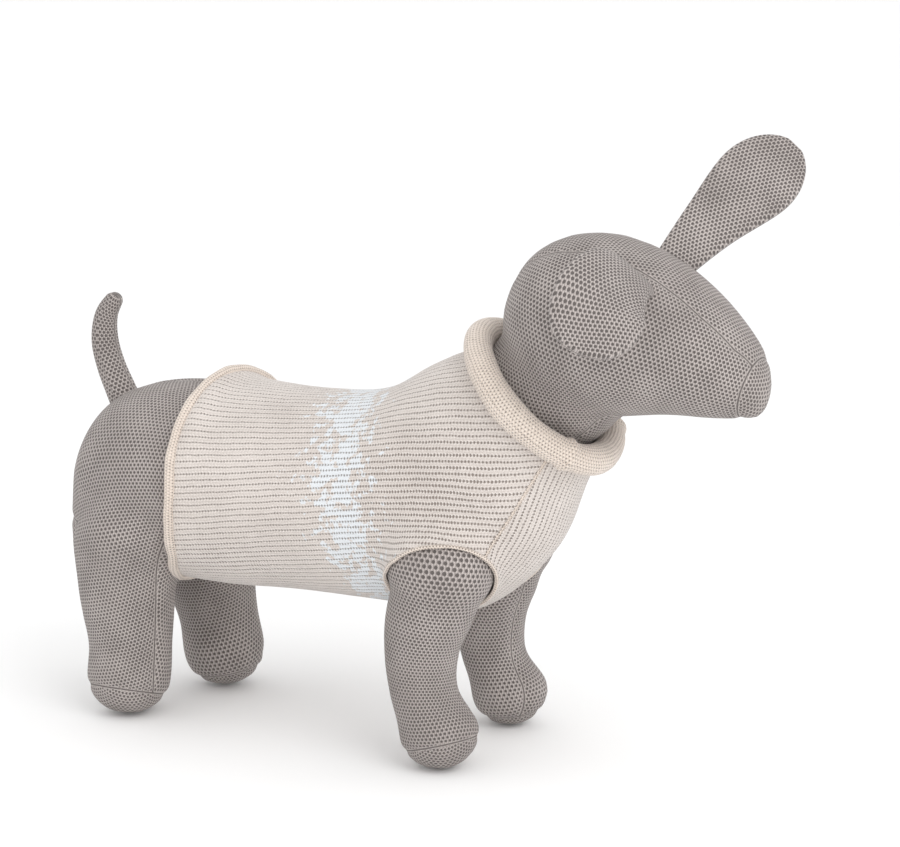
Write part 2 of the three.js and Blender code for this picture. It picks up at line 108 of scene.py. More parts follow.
def smooth_rows(keys: Array, steps: int, poles: tuple[bool, bool]) -> Array:
    """A smooth line through rows of numbers, with steps pieces between neighbours.

    The line is a Catmull-Rom spline whose knots are spaced by the square root of the distance between
    rows, which keeps it from overshooting where the rows are unevenly spaced. At a pole the row before
    the first is the mirror of the second, so the shape closes flat and round.

    Args:
        keys: The rows, whose last six numbers are the half axes.
        steps: Pieces between one row and the next.
        poles: Whether the first and the last row are closed points.

    Returns:
        The rows of the smooth line.
    """
    mirror = np.ones(keys.shape[1])
    mirror[3:] = -1
    before = keys[1] * mirror if poles[0] else 2 * keys[0] - keys[1]
    after = keys[-2] * mirror if poles[1] else 2 * keys[-1] - keys[-2]
    rows = np.vstack([before, keys, after])
    knots = np.concatenate([[0], np.cumsum(np.sqrt(np.linalg.norm(np.diff(rows, axis=0), axis=1)))])
    slope = np.diff(rows, axis=0) / np.diff(knots)[:, None]
    wide = (rows[2:] - rows[:-2]) / (knots[2:] - knots[:-2])[:, None]
    tangent = slope[:-1] + slope[1:] - wide
    share = np.linspace(0, 1, steps, endpoint=False)[None, :, None]
    low, high = keys[:-1, None, :], keys[1:, None, :]
    span = np.diff(knots)[1:-1][:, None, None]
    out = (
        (2 * share**3 - 3 * share**2 + 1) * low
        + (share**3 - 2 * share**2 + share) * span * tangent[:-1][:, None, :]
        + (-2 * share**3 + 3 * share**2) * high
        + (share**3 - share**2) * span * tangent[1:][:, None, :]
    )
    return np.vstack([out.reshape(-1, keys.shape[1]), keys[-1]])


# ---------------------------------------------------------------- triangle surfaces


@dataclass
class Surface:
    """A triangle surface in millimetres, with the number of a cloth panel on each face."""

    points: Array
    faces: Array
    panel: Array = field(default_factory=lambda: np.zeros(0, int))
    corners: Array | None = None

    def __post_init__(self) -> None:
        if len(self.panel) != len(self.faces):
            self.panel = np.zeros(len(self.faces), int)

    def part(self, mask: Array) -> "Surface":
        """The faces that a mask picks, with only the points that they use."""
        used, inverse = np.unique(self.faces[mask], return_inverse=True)
        corners = None if self.corners is None else self.corners[mask]
        return Surface(self.points[used], inverse.reshape(-1, 3), self.panel[mask], corners)

    def centres(self) -> Array:
        """The middle of each face."""
        return self.points[self.faces].mean(axis=1)

    def edges(self) -> tuple[Array, Array]:
        """Each edge once, and for each face the numbers of its three edges."""
        pairs = self.faces[:, [[0, 1], [1, 2], [2, 0]]].reshape(-1, 2)
        size = len(self.points)
        keys, index = np.unique(pairs.min(axis=1) * size + pairs.max(axis=1), return_inverse=True)
        return np.stack([keys // size, keys % size], axis=1), index.reshape(-1, 3)

    def normals(self) -> Array:
        """The unit normal at each point."""
        a, b, c = (self.points[self.faces[:, i]] for i in range(3))
        cross = np.cross(b - a, c - a)
        total = np.zeros_like(self.points)
        for i in range(3):
            np.add.at(total, self.faces[:, i], cross)
        return total / np.maximum(np.linalg.norm(total, axis=1, keepdims=True), 1e-12)

    def turned(self) -> "Surface":
        """The surface with its faces pointing the other way."""
        corners = None if self.corners is None else self.corners[:, ::-1].copy()
        return Surface(self.points, self.faces[:, ::-1].copy(), self.panel, corners)

    def stood(self, level: float) -> None:
        """Lifts the points under a level onto it, so that the soles lie flat."""
        self.points[:, 2] = np.maximum(self.points[:, 2], level)

    def area(self) -> float:
        """The area in square millimetres."""
        a, b, c = (self.points[self.faces[:, i]] for i in range(3))
        return float(np.linalg.norm(np.cross(b - a, c - a), axis=1).sum() / 2)

    def relaxed(self, rounds: int, pull: float = 0.55, push: float = 0.56) -> "Surface":
        """The surface with its bumps smoothed out at almost the same size.

        Each round moves every point a share of the way to the middle of its neighbours, and then almost
        as far back out, which flattens small bumps and keeps large shapes.
        """
        edges, _ = self.edges()
        points = self.points.copy()
        count = np.bincount(edges.ravel(), minlength=len(points))[:, None]
        for amount in [pull, -push] * rounds:
            ends, other = edges.T.ravel(), edges[:, ::-1].T.ravel()
            size = len(points)
            total = np.stack([np.bincount(ends, points[other, k], size) for k in range(3)], axis=1)
            points += amount * (total / np.maximum(count, 1) - points)
        return Surface(points, self.faces, self.panel)

    def split(self, value: Callable[[Array], Array]) -> "Surface":
        """The surface with its triangles cut along the line where a function of place is zero."""
        points, amounts = self.points.copy(), value(self.points)
        edges, _ = self.edges()
        low, high = amounts[edges[:, 0]], amounts[edges[:, 1]]
        crossing = low * high < 0
        share = np.zeros(len(edges))
        share[crossing] = low[crossing] / (low[crossing] - high[crossing])
        # A point close to the line slides onto it, which leaves no sliver beside it.
        for number in np.nonzero(crossing & ((share < 0.22) | (share > 0.78)))[0]:
            a, b = edges[number]
            near = a if share[number] < 0.5 else b
            if amounts[near] != 0:
                points[near] = self.points[a] + share[number] * (self.points[b] - self.points[a])
                amounts[near] = 0
        middle: dict[tuple[int, int], int] = {}
        extra: list[Array] = []
        faces: list[tuple[int, int, int]] = []
        panel: list[int] = []

        def between(a: int, b: int) -> int:
            key = (min(a, b), max(a, b))
            if key not in middle:
                t = amounts[a] / (amounts[a] - amounts[b])
                extra.append(points[a] + t * (points[b] - points[a]))
                middle[key] = len(points) + len(extra) - 1
            return middle[key]

        signs = np.sign(amounts[self.faces])
        mixed = (signs.min(axis=1) < 0) & (signs.max(axis=1) > 0)
        for face, sign, label in zip(self.faces[mixed], signs[mixed], self.panel[mixed]):
            ring: list[int] = []
            for i in range(3):
                a, b = int(face[i]), int(face[(i + 1) % 3])
                ring.append(a)
                if sign[i] * sign[(i + 1) % 3] < 0:
                    ring.append(between(a, b))
            level = [amounts[i] if i < len(points) else 0.0 for i in ring]
            for side in (1, -1):
                piece = [i for i, amount in zip(ring, level) if amount * side >= 0]
                for i in range(1, len(piece) - 1):
                    faces.append((piece[0], piece[i], piece[i + 1]))
                    panel.append(int(label))
        moved = np.vstack([points, *extra]) if extra else points
        whole = np.vstack([self.faces[~mixed], np.array(faces, int).reshape(-1, 3)])
        return Surface(moved, whole, np.concatenate([self.panel[~mixed], np.array(panel, int)]))

    def kept(self, value: Callable[[Array], Array]) -> "Surface":
        """The part of the surface where a function of place is above zero."""
        cut = self.split(value)
        return cut.part(value(cut.centres()) > 0)

    def labelled(
        self, value: Callable[[Array], Array], label: int, where: Array | None = None
    ) -> "Surface":
        """The surface with the faces where a function is above zero given a panel number.

        Args:
            value: The function of place.
            label: The panel number to give.
            where: Only faces with one of these panel numbers are changed.
        """
        cut = self.split(value)
        inside = value(cut.centres()) > 0
        if where is not None:
            inside &= np.isin(cut.panel, where)
        cut.panel = np.where(inside, label, cut.panel)
        return cut


def loft(sections: Sequence[Section], grow: float = 0.0, around: int = 56, steps: int = 8) -> Surface:
    """A closed smooth body through elliptical sections. The first and the last are its end points."""
    keys = np.array([section.grown(grow) for section in sections])
    for end, inner in ((0, 1), (-1, -2)):
        way = keys[end, :3] - keys[inner, :3]
        keys[end, :3] += grow * way / max(np.linalg.norm(way), 1e-9)
    rows = smooth_rows(keys, steps, (True, True))
    turn = np.linspace(0, 2 * math.pi, around, endpoint=False)
    rings = (
        rows[1:-1, None, :3]
        + np.cos(turn)[None, :, None] * rows[1:-1, None, 3:6]
        + np.sin(turn)[None, :, None] * rows[1:-1, None, 6:9]
    )
    points = np.vstack([rings.reshape(-1, 3), rows[:1, :3], rows[-1:, :3]])
    faces = grid_faces(len(rings), around, True)
    ring = np.arange(around)
    after = (ring + 1) % around
    first, last = len(points) - 2, len(points) - 1
    base = (len(rings) - 1) * around
    start = np.stack([np.full(around, first), after, ring], axis=1)
    end = np.stack([np.full(around, last), base + ring, base + after], axis=1)
    surface = Surface(points, np.vstack([faces, start, end]))
    return surface if volume(surface) > 0 else surface.turned()


def volume(surface: Surface) -> float:
    """The signed volume inside a closed surface."""
    a, b, c = (surface.points[surface.faces[:, i]] for i in range(3))
    return float((a * np.cross(b, c)).sum() / 6)


def grid_faces(rows: int, columns: int, closed: bool) -> Array:
    """The triangles of a grid of points, whose columns may close into a ring."""
    across = np.arange(columns if closed else columns - 1)
    i, j = np.meshgrid(np.arange(rows - 1), across, indexing="ij")
    a = i * columns + j
    b = i * columns + (j + 1) % columns
    c, d = b + columns, a + columns
    quads = np.stack([a, b, c, a, c, d], axis=-1)
    return quads.reshape(-1, 3)


def chains(pairs: Array, from_ends: bool) -> list[list[int]]:
    """Edges, as pairs of points, joined end to end into lines of points.

    Args:
        pairs: The two points of each edge.
        from_ends: Whether a line starts at a loose end where there is one.
    """
    near: dict[int, list[int]] = {}
    for a, b in pairs.tolist():
        near.setdefault(a, []).append(b)
        near.setdefault(b, []).append(a)
    lines, left = [], set(near)
    while left:
        if from_ends:
            ends = [n for n in left if sum(m in left for m in near[n]) <= 1]
            here = min(ends or left)
            left.remove(here)
        else:
            here = left.pop()
        line = [here]
        while ahead := [n for n in near[here] if n in left]:
            here = ahead[0]
            left.remove(here)
            line.append(here)
        lines.append(line)
    return lines


def joined_boundary(surface: Surface) -> list[Array]:
    """The open edges of a surface as closed loops of points, the longest first."""
    edges, index = surface.edges()
    single = np.bincount(index.ravel(), minlength=len(edges)) == 1
    loops = [surface.points[loop] for loop in chains(edges[single], from_ends=False)]
    return sorted(loops, key=len, reverse=True)


def even_loop(loop: Array, count: int, rounds: int, closed: bool = True) -> Array:
    """A line of points spaced evenly and smoothed, closed into a ring or open."""
    ring = np.vstack([loop, loop[:1]]) if closed else loop
    along = np.concatenate([[0], np.cumsum(np.linalg.norm(np.diff(ring, axis=0), axis=1))])
    places = np.linspace(0, along[-1], count, endpoint=not closed)
    line = np.stack([np.interp(places, along, ring[:, k]) for k in range(3)], axis=1)
    for _ in range(rounds):
        soft = (np.roll(line, 1, axis=0) + np.roll(line, -1, axis=0)) / 2
        if not closed:
            soft[0], soft[-1] = line[0], line[-1]
        line = line + 0.5 * (soft - line)
    return line


def tube(
    line: Array,
    radius: Array | float,
    sides: int,
    closed: bool,
    facing: Array | None = None,
) -> Surface:
    """A round tube along a line, with its cloth coordinates in millimetres.

    Args:
        line: The middle of the tube, point by point.
        radius: Its radius, one for all points or one for each.
        sides: Points round it.
        closed: Whether the ends meet.
        facing: For each point a direction that the first side turns to.

    Returns:
        The surface, with across-the-tube and along-the-tube coordinates at its corners.
    """
    count = len(line)
    ahead = np.roll(line, -1, axis=0) - np.roll(line, 1, axis=0)
    if not closed:
        ahead[0], ahead[-1] = line[1] - line[0], line[-1] - line[-2]
    ahead /= np.linalg.norm(ahead, axis=1, keepdims=True)
    if facing is None:
        facing = line - line.mean(axis=0)
    out = facing - (facing * ahead).sum(axis=1, keepdims=True) * ahead
    out /= np.maximum(np.linalg.norm(out, axis=1, keepdims=True), 1e-9)
    side = np.cross(ahead, out)
    radii = np.broadcast_to(np.asarray(radius, float), (count,)).copy()
    if not closed:
        radii[0] = radii[-1] = CLOSED_RADIUS
    turn = np.linspace(0, 2 * math.pi, sides, endpoint=False)
    rings = line[:, None, :] + radii[:, None, None] * (
        np.cos(turn)[None, :, None] * out[:, None, :] + np.sin(turn)[None, :, None] * side[:, None, :]
    )
    points = rings.reshape(-1, 3)
    faces = grid_faces(count + 1 if closed else count, sides, True)
    gaps = np.linalg.norm(np.diff(np.vstack([line, line[:1]]), axis=0), axis=1)
    along = np.concatenate([[0], np.cumsum(gaps)])
    row, column = faces // sides, faces % sides
    wraps = (column.max(axis=1) - column.min(axis=1) > 1)[:, None]
    column = np.where(wraps & (column == 0), sides, column)
    girth = 2 * math.pi * float(np.mean(radii))
    corners = np.stack([column / sides * girth, along[row]], axis=-1)
    surface = Surface(points, faces % len(points), corners=corners)
    return surface if volume(surface) >= 0 else surface.turned()


# ---------------------------------------------------------------- Blender objects


def bare_mesh(name: str, surface: Surface) -> bpy.types.Mesh:
    """A mesh in metres from a surface."""
    mesh = bpy.data.meshes.new(name)
    mesh.from_pydata((surface.points * MM).tolist(), [], surface.faces.tolist())
    mesh.update()
    return mesh


def linked(name: str, mesh: bpy.types.Mesh) -> bpy.types.Object:
    """An object for a mesh, in the scene, at the origin."""
    piece = bpy.data.objects.new(name, mesh)
    bpy.context.scene.collection.objects.link(piece)
    return piece


def evaluated(piece: bpy.types.Object) -> Surface:
    """The surface of an object after its modifiers, cut into triangles, in millimetres."""
    graph = bpy.context.evaluated_depsgraph_get()
    mesh = bpy.data.meshes.new_from_object(piece.evaluated_get(graph))
    made = bmesh.new()
    made.from_mesh(mesh)
    bmesh.ops.triangulate(made, faces=made.faces[:], quad_method="SHORT_EDGE")
    made.to_mesh(mesh)
    made.free()
    points = np.empty(len(mesh.vertices) * 3)
    mesh.vertices.foreach_get("co", points)
    faces = np.empty(len(mesh.polygons) * 3, np.int32)
    mesh.polygons.foreach_get("vertices", faces)
    bpy.data.meshes.remove(mesh)
    return Surface(points.reshape(-1, 3) / MM, faces.reshape(-1, 3).astype(int))


def removed(piece: bpy.types.Object) -> None:
    """Deletes a helper object and its mesh."""
    mesh = piece.data
    bpy.data.objects.remove(piece)
    bpy.data.meshes.remove(mesh)


def stack(surfaces: Sequence[Surface]) -> Surface:
    """Several surfaces in one."""
    shift = np.cumsum([0] + [len(s.points) for s in surfaces[:-1]])
    faces = np.vstack([s.faces + start for s, start in zip(surfaces, shift)])
    panel = np.concatenate([s.panel for s in surfaces])
    corners = None
    if all(s.corners is not None for s in surfaces):
        corners = np.vstack([s.corners for s in surfaces])
    return Surface(np.vstack([s.points for s in surfaces]), faces, panel, corners)


@dataclass(frozen=True)
class Stuffing:
    """How a stuffed skin is made from closed lumps and filled out as cloth.

    The lumps are joined by a voxel grid, softened, blown up as cloth against its own stretch, and
    refined once.
    """

    voxel: float = 4.6
    rounds: int = 10
    pressure: float = 4.0
    frames: int = 20
    most: float = 2.2
    mass: float = 0.2
    stretch: float = 25.0
    shear: float = 12.0
    bending: float = 2.0

    def filled(self, name: str, lumps: Sequence[Surface]) -> Surface:
        """One smooth closed skin round the lumps."""
        piece = linked(name, bare_mesh(name, stack(lumps)))
        remesh = piece.modifiers.new("joined", "REMESH")
        remesh.mode = "VOXEL"
        remesh.voxel_size = self.voxel * MM
        joined = evaluated(piece)
        removed(piece)
        soft = joined.relaxed(self.rounds)
        soft = self.blown(name, soft)
        piece = linked(name, bare_mesh(name, soft))
        finer = piece.modifiers.new("finer", "SUBSURF")
        finer.levels = finer.render_levels = 1
        fine = evaluated(piece).relaxed(2)
        removed(piece)
        LOG.info("%s: %d triangles", name, len(fine.faces))
        return fine

    def blown(self, name: str, soft: Surface) -> Surface:
        """The skin after a short cloth simulation under pressure, with no point moved too far."""
        scene = bpy.context.scene
        piece = linked(name, bare_mesh(name, soft))
        cloth = piece.modifiers.new("cloth", "CLOTH")
        cloth.settings.quality = 5
        cloth.settings.mass = self.mass
        cloth.settings.tension_stiffness = self.stretch
        cloth.settings.compression_stiffness = self.stretch
        cloth.settings.shear_stiffness = self.shear
        cloth.settings.bending_stiffness = self.bending
        cloth.settings.use_pressure = True
        cloth.settings.uniform_pressure_force = self.pressure
        cloth.settings.effector_weights.gravity = 0
        cloth.collision_settings.use_collision = False
        cloth.point_cache.frame_start = 1
        cloth.point_cache.frame_end = self.frames
        for frame_number in range(1, self.frames + 1):
            scene.frame_set(frame_number)
        graph = bpy.context.evaluated_depsgraph_get()
        mesh = piece.evaluated_get(graph).data
        points = np.empty(len(mesh.vertices) * 3)
        mesh.vertices.foreach_get("co", points)
        scene.frame_set(1)
        removed(piece)
        move = points.reshape(-1, 3) / MM - soft.points
        far = np.linalg.norm(move, axis=1, keepdims=True)
        move *= np.minimum(1, self.most / np.maximum(far, 1e-9))
        return Surface(soft.points + move, soft.faces).relaxed(2)


# ---------------------------------------------------------------- flat panels


def seam_edges(surface: Surface) -> Array:
    """The edges, as pairs of points, where two panels meet."""
    edges, index = surface.edges()
    flat = index.ravel()
    label = np.repeat(surface.panel, 3)
    low = np.full(len(edges), 10**6)
    high = np.full(len(edges), -1)
    np.minimum.at(low, flat, label)
    np.maximum.at(high, flat, label)
    return edges[low != high]


def flattened(name: str, surface: Surface, grain: dict[int, tuple[float, float, float]]) -> Surface:
    """The surface with cloth coordinates in millimetres, as if each panel were cut flat.

    Each panel is unwrapped with little stretch. Then it is scaled so that its flat area is its real
    area, and turned so that the second coordinate runs along the panel's grain on average.

    Args:
        name: For the helper object.
        surface: The surface, with its panels.
        grain: For each panel number, the direction of the second coordinate.
    """
    piece = linked(name + "_flat", bare_mesh(name + "_flat", surface))
    mesh = piece.data
    seams = {tuple(sorted(pair)) for pair in seam_edges(surface).tolist()}
    for edge in mesh.edges:
        edge.use_seam = tuple(sorted(edge.vertices)) in seams
    mesh.uv_layers.new(name=UV_NAME)
    bpy.context.view_layer.objects.active = piece
    bpy.ops.object.select_all(action="DESELECT")
    piece.select_set(True)
    bpy.ops.object.mode_set(mode="EDIT")
    bpy.ops.mesh.select_all(action="SELECT")
    bpy.ops.uv.unwrap(method="ANGLE_BASED", fill_holes=True, correct_aspect=False, margin=0.0)
    bpy.ops.object.mode_set(mode="OBJECT")
    flat = np.empty(len(mesh.loops) * 2)
    mesh.uv_layers[UV_NAME].data.foreach_get("uv", flat)
    corners = flat.reshape(-1, 3, 2)
    removed(piece)
    a, b, c = (surface.points[surface.faces[:, i]] for i in range(3))
    normal = np.cross(b - a, c - a)
    area = np.linalg.norm(normal, axis=1) / 2
    first, second = corners[:, 1] - corners[:, 0], corners[:, 2] - corners[:, 0]
    signed = (first[:, 0] * second[:, 1] - first[:, 1] * second[:, 0]) / 2
    for number in np.unique(surface.panel):
        mine = surface.panel == number
        flip = 1.0 if signed[mine].sum() > 0 else -1.0
        corners[mine, :, 0] *= flip
        scale = math.sqrt(area[mine].sum() / max(abs(signed[mine].sum()), 1e-12))
        way = np.array(grain[int(number)], float)
        e1, e2, n = (b - a)[mine], (c - a)[mine], normal[mine]
        n = n / np.maximum(np.linalg.norm(n, axis=1, keepdims=True), 1e-12)
        lying = way - (n @ way)[:, None] * n
        g11, g12, g22 = (e1 * e1).sum(1), (e1 * e2).sum(1), (e2 * e2).sum(1)
        w1, w2 = (e1 * lying).sum(1), (e2 * lying).sum(1)
        det = np.maximum(g11 * g22 - g12 * g12, 1e-12)
        s, t = (g22 * w1 - g12 * w2) / det, (g11 * w2 - g12 * w1) / det
        f1 = corners[mine, 1] - corners[mine, 0]
        f2 = corners[mine, 2] - corners[mine, 0]
        mean = ((s[:, None] * f1 + t[:, None] * f2) * area[mine][:, None]).sum(axis=0)
        angle = math.atan2(mean[0], mean[1])
        turn = np.array([[math.cos(angle), math.sin(angle)], [-math.sin(angle), math.cos(angle)]])
        corners[mine] = scale * corners[mine] @ turn
    return Surface(surface.points, surface.faces, surface.panel, corners)


def seam_distance(surface: Surface, also: Array | None = None) -> Array:
    """How far each point is from the nearest seam, in millimetres.

    Args:
        surface: The surface, with its panels.
        also: More places that count as seams, such as an edge sewn to another piece.
    """
    pairs = seam_edges(surface)
    share = np.linspace(0, 1, 5)[None, :, None]
    a, b = surface.points[pairs[:, :1]], surface.points[pairs[:, 1:]]
    places = (a + share * (b - a)).reshape(-1, 3)
    if also is not None:
        places = np.vstack([places, also])
    if not len(places):
        return np.full(len(surface.points), FAR_FROM_SEAMS)
    tree = KDTree(len(places))
    for number, place in enumerate(places):
        tree.insert(place, number)
    tree.balance()
    return np.array([tree.find(point)[2] for point in surface.points])


def pinched(surface: Surface, distance: Array, depth: float, width: float) -> Surface:
    """The surface drawn in along its seams, as sewn cloth is between two stuffed panels."""
    normals = surface.normals()
    middle = np.abs(surface.points[:, 1]) < 0.3
    normals[middle, 1] = 0
    drawn = surface.points - normals * (depth * np.exp(-((distance / width) ** 2)))[:, None]
    return Surface(drawn, surface.faces, surface.panel, surface.corners)


def made_piece(
    name: str,
    surface: Surface,
    material: bpy.types.Material,
    values: dict[str, Array] | None = None,
) -> bpy.types.Object:
    """An object from a surface, with its cloth coordinates, point values and material."""
    mesh = bare_mesh(name, surface)
    if surface.corners is not None:
        layer = mesh.uv_layers.new(name=UV_NAME)
        layer.data.foreach_set("uv", surface.corners.astype(np.float32).ravel())
    for key, numbers in (values or {}).items():
        attribute = mesh.attributes.new(key, "FLOAT", "POINT")
        attribute.data.foreach_set("value", np.asarray(numbers, np.float32))
    mesh.polygons.foreach_set("use_smooth", np.ones(len(mesh.polygons), bool))
    mesh.materials.append(material)
    return linked(name, mesh)


def stuffed(piece: bpy.types.Object, nodes: Sequence[str]) -> bpy.types.Object:
    """A stuffed piece of spacer mesh, which stands for some of the frame's nodes."""
    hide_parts(*nodes)
    return piece


# ---------------------------------------------------------------- finishes


def srgb(code: str) -> tuple[float, float, float, float]:
    """A colour written as six hexadecimal digits, as linear light."""
    values = [int(code[i : i + 2], 16) / 255 for i in (0, 2, 4)]
    linear = [v / 12.92 if v <= 0.04045 else ((v + 0.055) / 1.055) ** 2.4 for v in values]
    return (*linear, 1.0)


class Signal:
    """An output of a node that can be written into formulas."""

    def __init__(self, graph: "Graph", socket: bpy.types.NodeSocket) -> None:
        self.graph = graph
        self.socket = socket

    def math(self, operation: str, *others: "Signal | float") -> "Signal":
        """A formula step on this value, such as FRACT or MINIMUM."""
        return self.graph.add("Math", [self, *others], operation=operation)

    def __add__(self, other: "Signal | float") -> "Signal":
        return self.math("ADD", other)

    def __sub__(self, other: "Signal | float") -> "Signal":
        return self.math("SUBTRACT", other)

    def __mul__(self, other: "Signal | float") -> "Signal":
        return self.math("MULTIPLY", other)

    def __truediv__(self, other: "Signal | float") -> "Signal":
        return self.math("DIVIDE", other)

    def __rsub__(self, other: float) -> "Signal":
        return self.graph.add("Math", [other, self], operation="SUBTRACT")

    def ramp(self, low: float, high: float) -> "Signal":
        """0 below low, 1 above high, and smooth between. With low above high it falls."""
        return self.graph.add("MapRange", [self, low, high], interpolation_type="SMOOTHSTEP")


class Graph:
    """The nodes of one material."""

    def __init__(self, name: str) -> None:
        self.material = bpy.data.materials.new(name)
        self.material.use_nodes = True
        self.tree = self.material.node_tree
        self.tree.nodes.clear()

    def add(
        self,
        kind: str,
        inputs: Sequence[object] | dict[str, object] = (),
        out: str | None = None,
        **settings: object,
    ) -> Signal:
        """Adds a node, sets it and feeds it.

        Args:
            kind: The node's type without its ShaderNode prefix.
            inputs: Numbers, colours or signals, in order or by the socket's name or identifier.
            out: The name or identifier of the output to hand back, the first one if not given.
            settings: The node's own properties.
        """
        node = self.tree.nodes.new("ShaderNode" + kind)
        for key, value in settings.items():
            setattr(node, key, value)
        named = inputs.items() if isinstance(inputs, dict) else enumerate(inputs)
        for key, value in named:
            socket = self.find(node.inputs, key)
            if isinstance(value, Signal):
                self.tree.links.new(value.socket, socket)
            elif value is not None:
                socket.default_value = value
        return Signal(self, self.find(node.outputs, out or 0) if node.outputs else None)

    @staticmethod
    def find(sockets: bpy.types.bpy_prop_collection, key: str | int) -> bpy.types.NodeSocket:
        """A socket by its place, name or identifier."""
        if isinstance(key, int):
            return sockets[key]
        return next(s for s in sockets if key in (s.identifier, s.name))

    def mixed(self, share: Signal | float, low: object, high: object) -> Signal:
        """A colour between two, by a share."""
        inputs = {"Factor_Float": share, "A_Color": low, "B_Color": high}
        return self.add("Mix", inputs, "Result_Color", data_type="RGBA")

    def cloth_place(self) -> tuple[Signal, Signal]:
        """The two cloth coordinates, in millimetres across and along the grain."""
        flat = self.add("UVMap", uv_map=UV_NAME)
        parts = self.add("SeparateXYZ", [flat])
        return parts, Signal(self, parts.socket.node.outputs[1])

    def value_of(self, attribute: str) -> Signal:
        """A value stored on the points."""
        return self.add("Attribute", out="Fac", attribute_name=attribute)

    def noise(self, per_mm: float, detail: float = 2.0, shift: float = 0.0) -> Signal:
        """Soft noise in the object's own space, with so many waves for each millimetre."""
        place = self.add("TexCoord", out="Object")
        moved = self.add("Mapping", {"Vector": place, "Location": (shift, shift, shift)})
        inputs = {"Vector": moved, "Scale": per_mm / MM, "Detail": detail, "Roughness": 0.55}
        return self.add("TexNoise", inputs, "Fac")

    def finish(
        self, colour: Signal, height: Signal, depth_mm: float, **surface: float
    ) -> bpy.types.Material:
        """Closes the material with a cloth surface, whose relief is so many millimetres deep."""
        bump = self.add("Bump", {"Height": height, "Distance": depth_mm * MM, "Strength": 1.0})
        inputs: dict[str, object] = {"Base Color": colour, "Normal": bump}
        inputs.update({key.replace("_", " "): value for key, value in surface.items()})
        shader = self.add("BsdfPrincipled", inputs, "BSDF")
        self.add("OutputMaterial", {"Surface": shader})
        return self.material


@dataclass(frozen=True)
class SpacerMesh:
    """Knitted spacer mesh: pale threads round staggered rows of small holes; the hole pattern is real
    and its dark colour is painted shade inside the holes.

    It gives the eye a crisp honeycomb of holes where it faces you, and soft grey where it turns away.
    """

    name: str = "spacer_mesh"
    thread: str = "D5CCC8"
    thread_dark: str = "938A86"
    # Painted shade: the dark colour inside the holes, also used for the painted shade along seam
    # creases.
    hole_shade: str = "514A47"
    across: float = 2.36
    along: float = 4.09
    radius: float = 0.77
    edge: float = 0.42
    spread: float = 0.34
    wander: float = 2.2
    wander_waves: float = 0.03
    stitch_width: float = 1.5
    stitch_full: float = 0.35
    # How far from the seam the painted shade of its crease reaches, and where it is full.
    crease_shade_width: float = 0.8
    crease_shade_full: float = 0.15
    stitch: str = "D2C9C4"
    depth: float = 0.65

    def made(self) -> bpy.types.Material:
        """The material."""
        g = Graph(self.name)
        u, v = g.cloth_place()
        u, v = (
            place + (g.noise(self.wander_waves, 1.0, shift) - 0.5) * self.wander
            for place, shift in ((u, 0.0), (v, 0.7))
        )
        near = None
        for shift in (0.0, 0.5):
            a = ((u / self.across + shift).math("FRACT") - 0.5) * self.across
            b = ((v / self.along + shift).math("FRACT") - 0.5) * self.along
            gap = (a * a + b * b).math("SQRT")
            near = gap if near is None else near.math("MINIMUM", gap)
        size = g.noise(0.06, 1.0, 0.3) * self.spread + (self.radius - self.spread / 2)
        inside = (near - size) / self.edge
        # Where the holes are, which get the painted shade.
        hole_shade = inside.ramp(0.5, -0.6)
        seam = g.value_of(SEAM_NAME)
        rough = g.noise(0.9, 3.0)
        stitched = (seam + (rough - 0.5) * 0.9).ramp(self.stitch_width, self.stitch_full)
        # Painted shade in the crease where the seam draws the cloth in.
        crease_shade = (seam + (rough - 0.5) * 0.6).ramp(self.crease_shade_width, self.crease_shade_full)
        hole_shade = hole_shade * (1.0 - stitched * 0.75)
        chain = ((u / self.across * 2.0 + 0.25).math("FRACT") - 0.5).math("ABSOLUTE") * 2.0
        yarn = ((v / self.along * 6.0 + u * 0.9).math("FRACT") - 0.5).math("ABSOLUTE") * 2.0
        grain = g.noise(2.6, 2.0)
        blotch = g.noise(0.02, 2.0)
        shade = (chain * 0.45 + yarn * 0.3 + grain * 0.6 + blotch * 0.5).ramp(0.35, 1.25)
        threads = g.mixed(shade, srgb(self.thread), srgb(self.thread_dark))
        # The real hole pattern, filled with painted shade.
        cloth = g.mixed(hole_shade * 0.93, threads, srgb(self.hole_shade))
        marked = g.mixed(stitched * (grain * 0.9), cloth, srgb(self.stitch))
        # The seam crease darkened with painted shade.
        colour = g.mixed(crease_shade * 0.9, marked, srgb(self.hole_shade))
        height = (1.0 - hole_shade) * (chain * 0.12 + yarn * 0.1 + 0.9) + stitched * 0.35 - crease_shade * 0.7
        sheen = {"Sheen_Weight": 0.08, "Sheen_Roughness": 0.5}
        return g.finish(colour, height, self.depth, Roughness=0.7, **sheen)


class KnitSide(Enum):
    """Which side of the knitting shows."""

    PLAIN = "plain"
    PURL = "purl"


